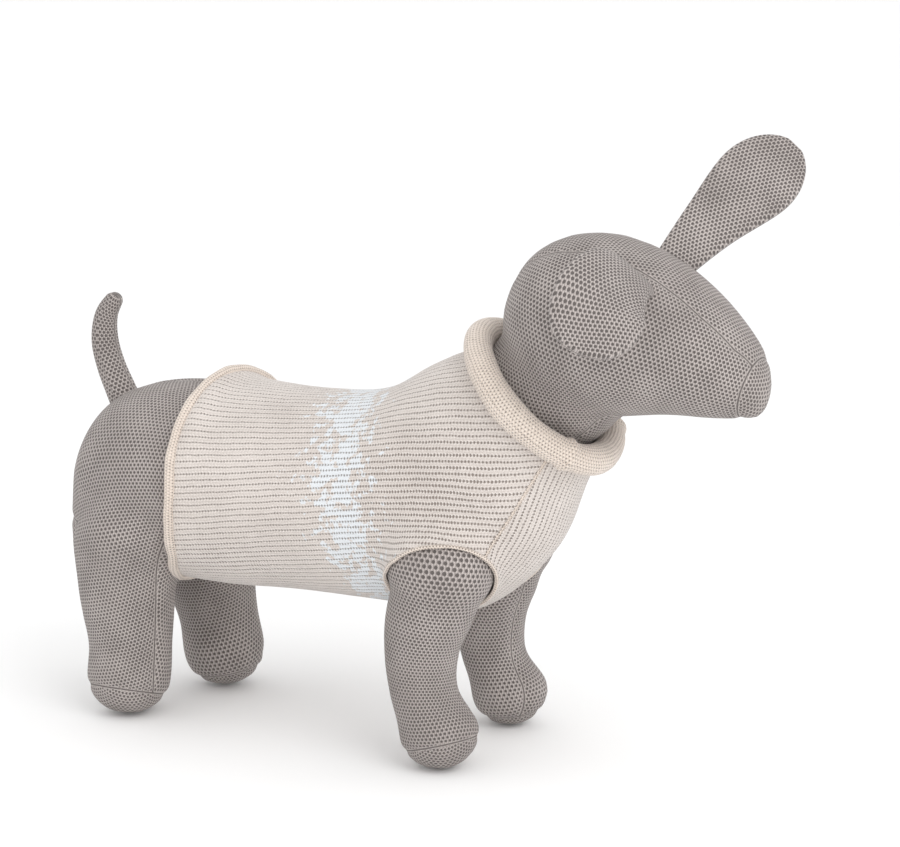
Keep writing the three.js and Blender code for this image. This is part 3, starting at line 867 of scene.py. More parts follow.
@dataclass(frozen=True)
class Knit:
    """Soft cotton jersey: columns of small V stitches, with painted shade in the grooves between the
    columns.

    It gives the eye fine lines of painted shade along the body, with dots of painted shade where the
    cloth is stretched open.
    """

    name: str
    side: KnitSide
    yarn: str = "E1D9D3"
    # The darker yarn colour serves both painted shade in the stitch hollows and random tone.
    yarn_dark: str = "B7ADA6"
    # Painted shade: the dark colour of the grooves between columns and of the dots seen through the
    # stretched cloth.
    gap: str = "75675E"
    band: str = "E2E9EF"
    wale: float = 3.4
    course: float = 1.85
    dot: float = 0.36
    wander: float = 1.6
    slope: float = 1.1
    strand: float = 0.24
    band_edge: tuple[float, float] = (14.0, 10.0)
    band_stray: float = 110.0
    band_wander: float = 20.0
    depth: float = 0.5

    def made(self) -> bpy.types.Material:
        """The material."""
        g = Graph(self.name)
        u, v = g.cloth_place()
        u = u + (g.noise(0.05, 2.0) - 0.5) * self.wander + (g.noise(0.5, 2.0, 0.6) - 0.5) * 0.9
        v = v + (g.noise(0.08, 1.0, 0.4) - 0.5) * self.wander
        opened = g.value_of(OPEN_NAME)
        column = u / self.wale
        x = (column.math("FRACT") - 0.5).math("ABSOLUTE")
        row = v / self.course
        leg = (row - x * self.slope).math("FRACT") - 0.5
        strand = 1.0 - (x - self.strand).math("ABSOLUTE") * 3.6
        stitch = (1.0 - leg.math("ABSOLUTE") * 1.5) * strand.math("MAXIMUM", 0.0)
        near = None
        for number in (0, 1):
            a = (((column + number) / 2.0).math("FRACT") - 0.5) * (2 * self.wale)
            b = ((row + 0.5 * number).math("FRACT") - 0.5) * self.course
            gap = (a * a * 0.8 + b * b * 1.9).math("SQRT")
            near = gap if near is None else near.math("MINIMUM", gap)
        size = opened * 0.4 + (g.noise(0.25, 2.0, 0.2) - 0.5) * 0.5 + self.dot
        # Dots of painted shade where the cloth is stretched open.
        shaded_dots = (near - size).ramp(0.3, -0.25)
        valley = x.ramp(0.36, 0.5)
        if self.side is KnitSide.PURL:
            odd = (column / 2.0).math("FRACT").math("GREATER_THAN", 0.5) * 0.5
            bumps = ((row + odd).math("FRACT") - 0.5).math("ABSOLUTE") * 2.0
            relief = (1.0 - bumps) * (1.0 - x * 1.2)
            valley = valley * 0.1
        else:
            relief = stitch
        fuzz = g.noise(2.2, 3.0)
        # Painted shade along the grooves between the columns, weaker where the cloth is stretched open.
        line = valley * (0.8 - opened * 0.55) * (g.noise(0.2, 3.0, 0.9) * 1.3)
        blotch = g.noise(0.03, 2.0) - 0.5
        # Painted shade: raised stitches are lighter and the hollows between them darker; fuzz and
        # blotch add random tone.
        shade = (1.0 - relief * 0.9 + (fuzz - 0.5) * 0.9 + blotch * 0.5).ramp(0.2, 1.35)
        yarn = g.mixed(shade, srgb(self.yarn), srgb(self.yarn_dark))
        if self.side is KnitSide.PLAIN:
            stray = g.noise(0.2, 4.0, 0.5) - 0.5
            wander = g.noise(0.05, 1.0, 0.8) - 0.5
            middle = g.value_of(BAND_NAME).math("ABSOLUTE")
            reach = middle + stray * self.band_stray + wander * self.band_wander
            frosted = reach.ramp(*self.band_edge)
            yarn = g.mixed(frosted * 0.75, yarn, srgb(self.band))
        # The grooves and then the open dots are painted with shade.
        valley_shaded = g.mixed(line * 0.45, yarn, srgb(self.gap))
        colour = g.mixed(shaded_dots * 0.8, valley_shaded, srgb(self.gap))
        height = relief * 0.8 + fuzz * 0.18 - shaded_dots * 0.8 - line * 0.5
        sheen = {"Sheen_Weight": 0.35, "Sheen_Roughness": 0.5}
        return g.finish(colour, height, self.depth, Roughness=0.9, **sheen)


@dataclass(frozen=True)
class Ground:
    """Matt white paper. It gives the eye only a plain pale floor."""

    name: str = "white_paper"

    def made(self) -> bpy.types.Material:
        """The material."""
        g = Graph(self.name)
        tone = g.noise(0.0006, 1.0)
        colour = g.mixed(tone, srgb("FBFBFB"), srgb("FFFFFF"))
        return g.finish(colour, g.noise(0.3, 2.0), 0.02, Roughness=0.9)


@dataclass
class Finishes:
    """The materials that the pieces share."""

    mesh: bpy.types.Material
    knit: bpy.types.Material
    purl: bpy.types.Material


# ---------------------------------------------------------------- the dog's shapes


def torso_sections() -> list[Section]:
    """The torso from the rump to the neck."""
    rows = [
        (-212, 124, 0, 0, 0),
        (-205, 127, 0, 24, 27),
        (-190, 133, 0, 45, 47),
        (-160, 137, 0, 54, 57),
        (-110, 137, 0, 57, 55),
        (-60, 137, 0, 55, 52),
        (-10, 139, 2, 57, 52),
        (32, 147, 12, 66, 52),
        (62, 169, 27, 57, 48),
        (77, 190, 37, 44.5, 40.5),
        (92, 210, 40, 36, 36),
        (104, 222, 40, 0, 0),
    ]
    return [upright(*row) for row in rows]


# The way out of the left armhole, which the round top of the leg faces.
ARM_WAY = np.array([0.454, 0.703, -0.547])


@dataclass(frozen=True)
class Leg:
    """A stuffed leg: its body, joint, round top, sections and foot, in millimetres."""

    body: str
    side: int
    joint: tuple[float, float, float]
    dome: float
    rows: tuple[tuple[float, float, float, float, float], ...]
    foot_round: float
    sole_height: float
    sole_slope: float
    sole_tilt: float
    outer_middle: float
    outer_half: float
    hidden_depth: float = 5.0

    def sections(self) -> list[Section]:
        """The leg from inside the body to the ground, with a round foot that stands flat."""
        found = []
        for z, x, y, long, wide in self.rows:
            found.append(self.level(z, x, y, long, wide))
        _, x, y, long, wide = self.rows[-1]
        for share in (0.62, 0.34, 0.15, 0.04):
            size = math.sqrt(1 - (1 - share) ** 2)
            found.append(self.level(share * self.foot_round, x, y, long * size, wide * size))
        found.append(self.level(0.2, x, y, 0, 0))
        return found

    def level(self, z: float, x: float, y: float, long: float, wide: float) -> Section:
        """A level section of this leg, on its own side of the dog."""
        return Section((x, y * self.side, z), (long, 0, 0), (0, wide, 0))

    def lumps(self) -> list[Surface]:
        """The closed lumps that the leg is joined from."""
        x, y, z = self.joint
        r = self.dome
        top = [self.level(z + r * c, x, y, r * s, r * s) for c, s in half_turn(8)]
        return [loft(top, 0.8, steps=4), loft(self.sections())]

    def nodes(self) -> list[str]:
        """The frame's nodes that the leg's skin stands for."""
        parts = ("outer_panel", "inner_panel", "filling", "sole_pad")
        return [f"{self.body}_{part}" for part in parts]

    def sole(self, p: Array) -> Array:
        """Above zero under the sole's seam."""
        _, x, y, _, _ = self.rows[-1]
        out = p[:, 1] * self.side - y
        return self.sole_height + self.sole_slope * (p[:, 0] - x) + self.sole_tilt * out - p[:, 2]

    def hidden(self, p: Array) -> Array:
        """Above zero on the cap of the round top that stays inside the sweater."""
        mirror = np.array([1, self.side, 1])
        return -self.hidden_depth - (p - np.array(self.joint) * mirror) @ (ARM_WAY * mirror)

    def inner(self, p: Array) -> Array:
        """Above zero on the inner panel. The outer panel is a wedge of turns about the leg's middle,
        measured from the front towards the dog's middle."""
        _, x, y, _, _ = self.rows[3]
        offset = np.stack([p[:, 0] - x, y - p[:, 1] * self.side], axis=1)
        turn = np.degrees(np.arctan2(offset[:, 1], offset[:, 0])) - self.outer_middle
        away = np.abs((turn + 180) % 360 - 180) - self.outer_half
        return np.radians(away) * np.linalg.norm(offset, axis=1)


def half_turn(steps: int) -> list[tuple[float, float]]:
    """The cosine and sine of angles from top to bottom, with both ends closed."""
    turns = np.linspace(0, math.pi, steps + 1)
    return [(math.cos(t), 0.0 if i in (0, steps) else math.sin(t)) for i, t in enumerate(turns)]


def front_leg(side: int) -> Leg:
    """The right or left front leg."""
    rows = (
        (122, 42, 39, 0, 0),
        (116, 42, 39, 20, 20),
        (88, 37, 40, 25, 24),
        (64, 32, 42, 20.8, 20.8),
        (42, 33.5, 43, 18.8, 19.6),
        (24, 43, 44, 22.5, 21.5),
    )
    height, slope, tilt = (13.5, 0.3, 0.1) if side < 0 else (6.5, 0.14, 0.0)
    body = "leg_front_right" if side < 0 else "leg_front_left"
    return Leg(body, side, (42, 39, 112), 29, rows, 21, height, slope, tilt, -78.5, 101.5)


def hind_leg(side: int) -> Leg:
    """The right or left hind leg."""
    x = -160 if side < 0 else -150
    foot = x - 3.5 if side < 0 else x + 5.0
    rows = (
        (124, x, 35, 0, 0),
        (112, x - 3, 35, 32, 27),
        (86, x - 4, 36, 31, 26.5),
        (60, x - 3, 37, 27.5, 24.5),
        (40, (x + foot) / 2, 37, 24.5, 23),
        (25, foot, 37, 25, 24),
    )
    height, slope, tilt = (13.5, 0.0, 0.32) if side < 0 else (8.0, 0.2, 0.0)
    body = "leg_hind_right" if side < 0 else "leg_hind_left"
    return Leg(body, side, (x, 35, 108), 30, rows, 23, height, slope, tilt, -86.5, 66.5)


def head_sections() -> list[Section]:
    """The head from the back of the skull to the nose."""
    rows = [
        (65, 242, 0, 0, 0),
        (69, 242, 0, 20, 20),
        (82, 243, 0, 38, 37),
        (100, 243, 0, 47, 47),
        (120, 243, 0, 49, 50),
        (142, 242, 0, 45, 48),
        (163, 238, 0, 39, 41),
        (183, 230.5, 0, 31.8, 32),
        (199, 223, 0, 23, 22.5),
        (207.5, 218, 0, 16.5, 15),
        (212, 216.5, 0, 0, 0),
    ]
    return [upright(*row) for row in rows]


@dataclass(frozen=True)
class Neck:
    """The neck's axis and size."""

    base: tuple[float, float, float] = (78.1, 0.0, 199.2)
    lean: float = 40.0
    radius: float = 37.3

    @property
    def axis(self) -> Array:
        """The unit direction from the torso to the head."""
        turn = math.radians(self.lean)
        return np.array([math.cos(turn), 0, math.sin(turn)])

    def at(self, reach: float) -> Array:
        """A point on the axis."""
        return np.array(self.base) + reach * self.axis

    def reach(self, p: Array) -> Array:
        """How far each point lies along the axis."""
        return (p - np.array(self.base)) @ self.axis

    def lump(self) -> Surface:
        """The neck as a closed lump that starts inside the collar and ends inside the head."""
        up = np.array([-self.axis[2], 0, self.axis[0]])
        rows = [(-14, 0), (-10, 0.75), (0, 1), (14, 1), (28, 1), (40, 0.8), (50, 0)]
        sections = [
            Section(tuple(self.at(reach)), tuple(up * self.radius * size), (0, self.radius * size, 0))
            for reach, size in rows
        ]
        return loft(sections)


NECK = Neck()


# ---------------------------------------------------------------- sub-assemblies


@dataclass
class Rump:
    """The torso's cover with the hind legs: a right and a left half that meet in a seam, and the
    hidden barrel under the sweater."""

    finishes: Finishes
    stuffing: Stuffing = Stuffing(rounds=18)
    barrel_from: float = -90.0
    leg_top: float = 114.0
    barrel_to: float = -1.0
    seat: tuple[float, float, float] = (-174.5, 22.0, 112.0)
    seat_height: float = 46.0
    seat_radius: float = 30.5
    pinch: float = 1.0
    pinch_width: float = 2.6

    def build(self) -> list[bpy.types.Object]:
        """Makes the two halves and the barrel."""
        legs = [hind_leg(-1), hind_leg(1)]
        lumps = [loft(torso_sections())] + [lump for leg in legs for lump in leg.lumps()]
        for side in (-1, 1):
            x, y, z = self.seat
            rows = [(z + self.seat_height * c, self.seat_radius * s) for c, s in half_turn(8)]
            seat = [Section((x, y * side, level), (r, 0, 0), (0, r, 0)) for level, r in rows]
            lumps.append(loft(seat, steps=4))
        skin = self.stuffing.filled("rump", lumps)
        skin.stood(UNDERFOOT)
        skin = skin.split(lambda p: p[:, 0] - self.barrel_from)
        ahead = skin.centres()[:, 0] > self.barrel_from
        barrel = skin.part(ahead).kept(lambda p: self.barrel_to - NECK.reach(p))
        back = skin.part(~ahead).split(lambda p: p[:, 1])
        pieces = []
        for leg, name in zip(legs, ("rump_right", "rump_left")):
            half = back.part(back.centres()[:, 1] * leg.side > 0)
            pieces.append(self.half(half, leg, name))
        flat = flattened("barrel", barrel, {0: (1, 0, 0)})
        plain = {SEAM_NAME: np.full(len(flat.points), FAR_FROM_SEAMS)}
        core = made_piece("barrel", flat, self.finishes.mesh, plain)
        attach(core, "torso")
        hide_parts("torso_filling")
        pieces.append(core)
        return pieces

    def half(self, half: Surface, leg: Leg, name: str) -> bpy.types.Object:
        """One half with its inner leg panel and its sole."""
        half = half.labelled(lambda p: np.minimum(leg.inner(p), self.leg_top - p[:, 2]), 1)
        half = half.labelled(leg.sole, 2)
        half = flattened(name, half, {0: (0.25, 0, -1), 1: (0, 0, -1), 2: (1, 0, 0)})
        middle = half.points[np.abs(half.points[:, 1]) < 0.01]
        distance = seam_distance(half, middle)
        half = pinched(half, distance, self.pinch, self.pinch_width)
        half.stood(SOLE_LEVEL)
        piece = made_piece(name, half, self.finishes.mesh, {SEAM_NAME: distance})
        x = leg.joint[0] * MM
        start = (x + 0.020, 0.0, 0.090)
        end = (x + 0.002, 0.032 * leg.side, 0.058)
        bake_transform(piece)
        side = "right" if leg.side < 0 else "left"
        return stuffed(piece, [f"torso_{side}_panel", *leg.nodes()])


@dataclass
class FrontLegs:
    """The two front legs, whose round tops turn inside the armholes."""

    finishes: Finishes
    stuffing: Stuffing = Stuffing(voxel=3.8, rounds=8, most=1.2)
    pinch: float = 1.0
    pinch_width: float = 2.6

    def build(self) -> list[bpy.types.Object]:
        """Makes both legs."""
        return [self.one(front_leg(side)) for side in (-1, 1)]

    def one(self, leg: Leg) -> bpy.types.Object:
        """One leg with its inner panel and its sole."""
        skin = self.stuffing.filled(leg.body, leg.lumps())
        skin.stood(UNDERFOOT)
        skin = skin.labelled(leg.inner, 1).labelled(leg.sole, 2).labelled(leg.hidden, 3)
        grain = {0: (-0.12, 0, -1), 1: (0, 0, -1), 2: (1, 0, 0), 3: (1, 0, 0)}
        flat = flattened(leg.body, skin, grain)
        distance = seam_distance(flat)
        flat = pinched(flat, distance, self.pinch, self.pinch_width)
        flat.stood(SOLE_LEVEL)
        piece = made_piece(leg.body + "_skin", flat, self.finishes.mesh, {SEAM_NAME: distance})
        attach(piece, leg.body)
        return stuffed(piece, leg.nodes())


@dataclass
class Head:
    """The neck and head cover: two cheeks, a top gusset, a nose panel and a throat panel."""

    finishes: Finishes
    stuffing: Stuffing = Stuffing(rounds=9, most=1.0)
    gusset_x: tuple[float, ...] = (60, 84, 110, 140, 165, 182, 199, 208, 214)
    gusset_half: tuple[float, ...] = (10, 20, 25, 25, 23.5, 21.4, 16.4, 10.4, 6)
    gusset_low: float = 226.0
    throat_half: float = 17.0
    throat_ahead: float = 132.0
    throat_high: float = 222.0
    nose_x: float = 203.5
    nose_z: float = 217.0
    nose_lean: float = 0.3
    neck_from: float = -4.0
    pinch: float = 0.9
    pinch_width: float = 2.2

    def gusset(self, p: Array) -> Array:
        """Above zero on the top panel."""
        half = np.interp(p[:, 0], self.gusset_x, self.gusset_half)
        return np.minimum(half - np.abs(p[:, 1]), p[:, 2] - self.gusset_low)

    def throat(self, p: Array) -> Array:
        """Above zero on the panel under the chin."""
        side = self.throat_half - np.abs(p[:, 1])
        return np.minimum(np.minimum(side, self.throat_ahead - p[:, 0]), self.throat_high - p[:, 2])

    def nose(self, p: Array) -> Array:
        """Above zero on the small panel at the tip."""
        return p[:, 0] - self.nose_x - self.nose_lean * (p[:, 2] - self.nose_z)

    def build(self) -> list[bpy.types.Object]:
        """Makes the cover, which bends from the neck to the head."""
        skin = self.stuffing.filled("head", [loft(head_sections()), NECK.lump()])
        skin = skin.kept(lambda p: NECK.reach(p) - self.neck_from)
        skin = skin.labelled(lambda p: p[:, 1], 1)
        skin = skin.labelled(self.gusset, 2).labelled(self.throat, 4).labelled(self.nose, 3)
        cheek = (-0.25, 0, -1)
        grain = {0: cheek, 1: cheek, 2: (1, 0, -0.3), 3: (0, 0, -1), 4: (0.3, 0, -1)}
        flat = flattened("head", skin, grain)
        distance = seam_distance(flat)
        flat = pinched(flat, distance, self.pinch, self.pinch_width)
        piece = made_piece("head_skin", flat, self.finishes.mesh, {SEAM_NAME: distance})
        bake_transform(piece)
        panels = ["head_right_panel", "head_left_panel", "head_top_gusset", "nose_panel"]
        return [stuffed(piece, [*panels, "head_filling", "neck_cover", "neck_filling"])]


@dataclass(frozen=True)
class EarShape:
    """The line along the middle of an ear and how its width lies."""

    side: str
    spine: tuple[tuple[float, float, float], ...]
    width_way: tuple[tuple[float, float, float], ...]
    half_widths: tuple[float, ...]
    half_thick: float = 4.2


@dataclass
class Ears:
    """Two padded paddles, each sewn from a front and a back panel round a stiff sheet."""

    finishes: Finishes
    shapes: tuple[EarShape, ...] = (
        EarShape(
            "left",
            ((146, 16, 270), (161, 41, 294), (177.5, 65, 316), (193, 86, 334)),
            ((0.77, 0, -0.64),) * 4,
            (9.5, 15.5, 22.5, 22.5),
        ),
        EarShape(
            "right",
            ((146, -20, 270), (148, -48, 277.5), (148.5, -73, 267), (151, -88, 241)),
            ((0.77, 0, -0.64), (0.8, 0.1, -0.6), (0.78, 0.1, -0.62), (0.72, 0.1, -0.7)),
            (13, 19, 24, 26),
        ),
    )
    along: int = 60
    across: int = 41
    rim: float = 3.4
    round_from: float = 0.62
    round_power: float = 2.8
    crown: float = 0.25
    crown_width: float = 8.0
    welt: float = 4.5
    welt_depth: float = 0.45
    welt_width: float = 0.8

    def build(self) -> list[bpy.types.Object]:
        """Makes both ears."""
        return [self.one(shape) for shape in self.shapes]

    def one(self, shape: EarShape) -> bpy.types.Object:
        """One ear, its two faces meeting in a seam round the rim."""
        widths = np.array(shape.half_widths)[:, None]
        keys = np.hstack([np.array(shape.spine), np.array(shape.width_way), widths])
        rows = smooth_rows(keys, self.along // 3, (False, False))
        gaps = np.linalg.norm(np.diff(rows[:, :3], axis=0), axis=1)
        length = np.concatenate([[0], np.cumsum(gaps)])
        share = np.sin(np.linspace(0, math.pi / 2, self.along)) * length[-1]
        rows = np.stack([np.interp(share, length, rows[:, k]) for k in range(7)], axis=1)
        ahead = np.gradient(rows[:, :3], axis=0)
        ahead /= np.linalg.norm(ahead, axis=1, keepdims=True)
        normal = np.cross(ahead, rows[:, 3:6])
        normal /= np.linalg.norm(normal, axis=1, keepdims=True)
        width = np.cross(normal, ahead)
        past = np.clip((share / length[-1] - self.round_from) / (1 - self.round_from), 0, 1)
        half = rows[:, 6] * np.sqrt(np.maximum(0, 1 - past**self.round_power))
        place = np.sin(np.linspace(-math.pi / 2, math.pi / 2, self.across))
        # How far inside the rim each point lies, from the side and from the round end.
        side_gap = half[:, None] * (1 - np.abs(place)[None, :])
        end_gap = np.broadcast_to(np.minimum(share, length[-1] - share)[:, None], side_gap.shape)
        inside = np.minimum(side_gap, end_gap)
        rise = np.sqrt(np.maximum(0, 1 - (1 - np.clip(inside / self.rim, 0, 1)) ** 2))
        crown = 1 + self.crown * (1 - np.exp(-inside / self.crown_width))
        thick = shape.half_thick * rise * crown
        offset = half[:, None] * place[None, :]
        flat = np.stack([offset, np.broadcast_to(share[:, None], inside.shape)], axis=-1)
        sheets = []
        for number, sign in enumerate((1, -1)):
            points = (
                rows[:, None, :3]
                + offset[..., None] * width[:, None, :]
                + sign * thick[..., None] * normal[:, None, :]
            )
            faces = grid_faces(self.along, self.across, False)
            if sign < 0:
                faces = faces[:, ::-1].copy()
            corners = flat.reshape(-1, 2)[faces]
            panel = np.full(len(faces), number)
            sheets.append(Surface(points.reshape(-1, 3), faces, panel, corners))
        ear = welded(stack(sheets))
        if volume(ear) < 0:
            ear = ear.turned()
        distance = seam_distance(ear)
        ear = pinched(ear, np.abs(distance - self.welt), self.welt_depth, self.welt_width)
        piece = made_piece(f"ear_{shape.side}_skin", ear, self.finishes.mesh, {SEAM_NAME: distance})
        body = f"ear_{shape.side}"
        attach(piece, body)
        return stuffed(piece, [f"{body}_front_panel", f"{body}_back_panel", f"{body}_stiffener"])


def welded(surface: Surface) -> Surface:
    """The surface with points at the same place joined, and with neither empty nor doubled faces."""
    places = np.round(surface.points, 3)
    _, first, inverse = np.unique(places, axis=0, return_index=True, return_inverse=True)
    faces = inverse.ravel()[surface.faces]
    whole = (faces != np.roll(faces, 1, axis=1)).all(axis=1)
    trios = np.sort(faces, axis=1)
    _, trio, count = np.unique(trios, axis=0, return_inverse=True, return_counts=True)
    whole &= count[trio.ravel()] == 1
    corners = None if surface.corners is None else surface.corners[whole]
    return Surface(surface.points[first], faces[whole], surface.panel[whole], corners)


@dataclass
class Tail:
    """The upright tail, which bends at its base and halfway up."""

    finishes: Finishes
    spine: tuple[tuple[float, float, float], ...] = (
        (-183, 0, 170),
        (-190, 0, 184),
        (-196, 0, 197),
        (-200, 0, 212),
        (-198.5, 0, 227),
        (-191, 0, 239),
    )
    radii: tuple[float, ...] = (9.5, 8.9, 8.4, 7.9, 6.7, 4.8)
    tip_height: float = 0.8
    tip_sunk: float = 2.5
    pinch: float = 0.5
    pinch_width: float = 1.4

    def build(self) -> list[bpy.types.Object]:
        """Makes the tail's cover."""
        keys = np.hstack([np.array(self.spine), np.array(self.radii)[:, None]])
        rows = smooth_rows(keys, 12, (False, False))
        tip, radius = rows[-1, :3], rows[-1, 3]
        way = (tip - rows[-2, :3]) / np.linalg.norm(tip - rows[-2, :3])
        caps = []
        for turn in np.linspace(0, math.pi / 2, 7)[1:]:
            place = tip + way * radius * self.tip_height * math.sin(turn) - way * self.tip_sunk
            caps.append(np.append(place, max(radius * math.cos(turn), CLOSED_RADIUS)))
        rows = np.vstack([rows[:-2], caps])
        facing = np.tile([0.0, -1.0, 0.0], (len(rows), 1))
        surface = tube(rows[:, :3], rows[:, 3], 28, False, facing)
        surface.panel = (surface.centres()[:, 1] > 0).astype(int)
        distance = seam_distance(surface)
        surface = pinched(surface, distance, self.pinch, self.pinch_width)
        piece = made_piece("tail_skin", surface, self.finishes.mesh, {SEAM_NAME: distance})
        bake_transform(piece)
        parts = ("right_panel", "left_panel", "wired_core")
        nodes = [f"tail_{half}_{part}" for half in ("lower", "upper") for part in parts]
        return [stuffed(piece, nodes)]


@dataclass
class Sweater:
    """The knitted sweater: a back panel and a chest panel sewn along raglan seams, with a rolled
    collar, a rolled hem and bound armholes."""

    finishes: Finishes
    clear: float = 3.4
    sleeve_clear: float = 2.6
    stuffing: Stuffing = Stuffing(voxel=4.6, rounds=12, most=0.8)
    hem_z: tuple[float, ...] = (68, 76, 86, 100, 120, 140, 165, 195)
    hem_x: tuple[float, ...] = (-153, -142, -128, -117, -111, -108, -110, -112)
    hem_twist: float = 0.17
    arm_centre: tuple[float, float, float] = (41.5, -40.0, 110.0)
    arm_radius: float = 30.0
    arm_deep: float = 22.0
    raglan_point: tuple[float, float, float] = (87.0, -36.0, 151.0)
    raglan_way: tuple[float, float, float] = (0.727, 0.4235, -0.507)
    collar_centre: tuple[float, float, float] = (85.0, 0.0, 202.5)
    collar_lean: float = 47.0
    collar_radius: float = 45.5
    collar_roll: float = 8.2
    collar_lumps: tuple[float, ...] = (2.45, 3.9)
    collar_lump: float = 1.4
    collar_lump_width: float = 0.045
    hem_roll: float = 3.0
    hem_lift: float = 4.0
    armhole_edge: float = 1.1
    stitch: float = 0.9
    shortest_seam: int = 6
    opened: tuple[tuple[float, ...], ...] = ((45, 150, 55, 48, 1.0), (-95, 100, 34, 16, 0.75))
    band_x: float = -8.0
    band_lean: float = 0.22
    thickness: float = 1.3

    def hem(self, p: Array) -> Array:
        """Above zero ahead of the hem, whose lower corners reach further back."""
        return p[:, 0] - np.interp(p[:, 2], self.hem_z, self.hem_x) - self.hem_twist * p[:, 1]

    def armhole(self, p: Array, side: int) -> Array:
        """Above zero outside an armhole, which is a round cut that reaches a little way in."""
        centre = np.array(self.arm_centre) * np.array([1, -side, 1])
        way = ARM_WAY * np.array([1, side, 1])
        way /= np.linalg.norm(way)
        offset = p - centre
        deep = offset @ way
        away = np.linalg.norm(offset - deep[:, None] * way, axis=1) - self.arm_radius
        return np.where(deep > -self.arm_deep, away, np.maximum(away, -self.arm_deep - deep))

    def chest(self, p: Array) -> Array:
        """Above zero on the chest panel."""
        found = []
        for side in (-1, 1):
            mirror = np.array([1, -side, 1])
            way = np.array(self.raglan_way) * mirror
            found.append((p - np.array(self.raglan_point) * mirror) @ (way / np.linalg.norm(way)))
        return np.minimum(*found)

    def shell(self) -> Surface:
        """The whole knitted body, cut open at its hem, its neck and its armholes."""
        lumps = [loft(torso_sections(), self.clear)]
        for side in (-1, 1):
            leg = front_leg(side)
            x, y, z = leg.joint
            r = leg.dome + self.sleeve_clear
            dome = [leg.level(z + r * c, x, y, r * s, r * s) for c, s in half_turn(8)]
            lumps.append(loft(dome, steps=4))
        skin = self.stuffing.filled("sweater", lumps)
        p = skin.points
        lift = self.hem_lift * np.exp(-(((p[:, 0] + 112) / 9) ** 2))
        p[:, 2] += lift * (p[:, 2] > 150)
        skin = skin.kept(self.hem)
        centre, _, way = self.ring()
        skin = skin.kept(lambda q: (centre - q) @ way - 1.0)
        for side in (-1, 1):
            skin = skin.kept(lambda q, s=side: self.armhole(q, s))
        return skin.labelled(self.chest, 1)

    def ring(self) -> tuple[Array, Array, Array]:
        """The collar's middle, its upward direction and the way that it opens."""
        turn = math.radians(self.collar_lean)
        up = np.array([-math.sin(turn), 0, math.cos(turn)])
        return np.array(self.collar_centre), up, np.array([math.cos(turn), 0, math.sin(turn)])

    def values(self, p: Array) -> dict[str, Array]:
        """How far the knit is stretched open, round the shoulder and low on the flank, and how far
        each point is from the middle of the frosted band."""
        opened = sum(
            share * np.exp(-(((p[:, 0] - x) / long) ** 2 + ((p[:, 2] - z) / tall) ** 2))
            for x, z, long, tall, share in self.opened
        )
        band = p[:, 0] - self.band_x + self.band_lean * (p[:, 2] - 137)
        return {OPEN_NAME: np.clip(opened, 0, 1), BAND_NAME: band}

    def build(self) -> list[bpy.types.Object]:
        """Makes the panels, the rolled edges and the seams."""
        shell = self.shell()
        loops = joined_boundary(shell)
        seams = self.seam_lines(shell)
        # The back panel is unwrapped in two halves, which meet unseen along the spine and the belly.
        halves = shell.labelled(lambda p: p[:, 1], 2, np.array([0]))
        grain = {0: (1, 0, 0.15), 1: (0.55, 0, 0.83), 2: (1, 0, 0.15)}
        flat = flattened("sweater", halves, grain)
        pieces = []
        for number, name in enumerate(("sweater_back", "sweater_chest")):
            part = flat.part((flat.panel == 1) == (number == 1))
            piece = self.cloth(part, name)
            LOG.info("%s: area %.0f mm2", name, part.area())
            pieces.append(piece)
        rolled = self.edges(loops) + self.cords(seams)
        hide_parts("sweater_back_panel")
        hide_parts("sweater_chest_panel")
        return pieces + rolled

    def cloth(self, part: Surface, name: str) -> bpy.types.Object:
        """One knitted panel with its thickness."""
        inner = part.turned()
        inner.points = part.points - part.normals() * self.thickness
        rim = self.rim(part)
        edge = Surface(
            np.zeros((0, 3)),
            rim - 2 * len(part.points),
            np.full(len(rim), part.panel[0]),
            np.zeros((len(rim), 3, 2)),
        )
        whole = stack([part, inner, edge])
        piece = made_piece(name, whole, self.finishes.knit, self.values(whole.points))
        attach(piece, "torso")
        return piece

    @staticmethod
    def rim(part: Surface) -> Array:
        """The faces that close two layers of a panel along their edges, the outer layer first."""
        pairs = part.faces[:, [[0, 1], [1, 2], [2, 0]]].reshape(-1, 2)
        keys = pairs.min(axis=1) * len(part.points) + pairs.max(axis=1)
        _, index, count = np.unique(keys, return_inverse=True, return_counts=True)
        single = pairs[count[index.ravel()] == 1]
        a, b = single[:, 0], single[:, 1]
        c, d = b + len(part.points), a + len(part.points)
        return np.vstack([np.stack([b, a, d], 1), np.stack([b, d, c], 1)])

    def seam_lines(self, shell: Surface) -> list[Array]:
        """The lines where the chest panel meets the back panel."""
        lines = chains(seam_edges(shell), from_ends=True)
        return [shell.points[line] for line in lines if len(line) > self.shortest_seam]

    def cords(self, lines: list[Array]) -> list[bpy.types.Object]:
        """The linked stitches that stand a little proud along each seam."""
        pieces = []
        for line in lines:
            path = even_loop(line, max(12, len(line)), 4, closed=False)
            middle = path[:, 1].mean()
            side = "right" if middle < 0 else "left"
            name = "belly_seam" if abs(middle) < 4 else f"raglan_seam_{side}"
            wave = self.stitch + 0.25 * np.sin(np.arange(len(path)) * 2.1)
            surface = tube(path, wave, 8, False, path - np.array([20.0, 0.0, 150.0]))
            pieces.append(self.sewn(f"{name}_cord", surface, f"sweater_{name}"))
        return pieces

    def sewn(self, name: str, surface: Surface, node: str) -> bpy.types.Object:
        """A rolled edge or a seam, which shows the purl side and stands for one node."""
        piece = made_piece(name, surface, self.finishes.purl, self.values(surface.points))
        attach(piece, "torso")
        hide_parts(node)
        return piece

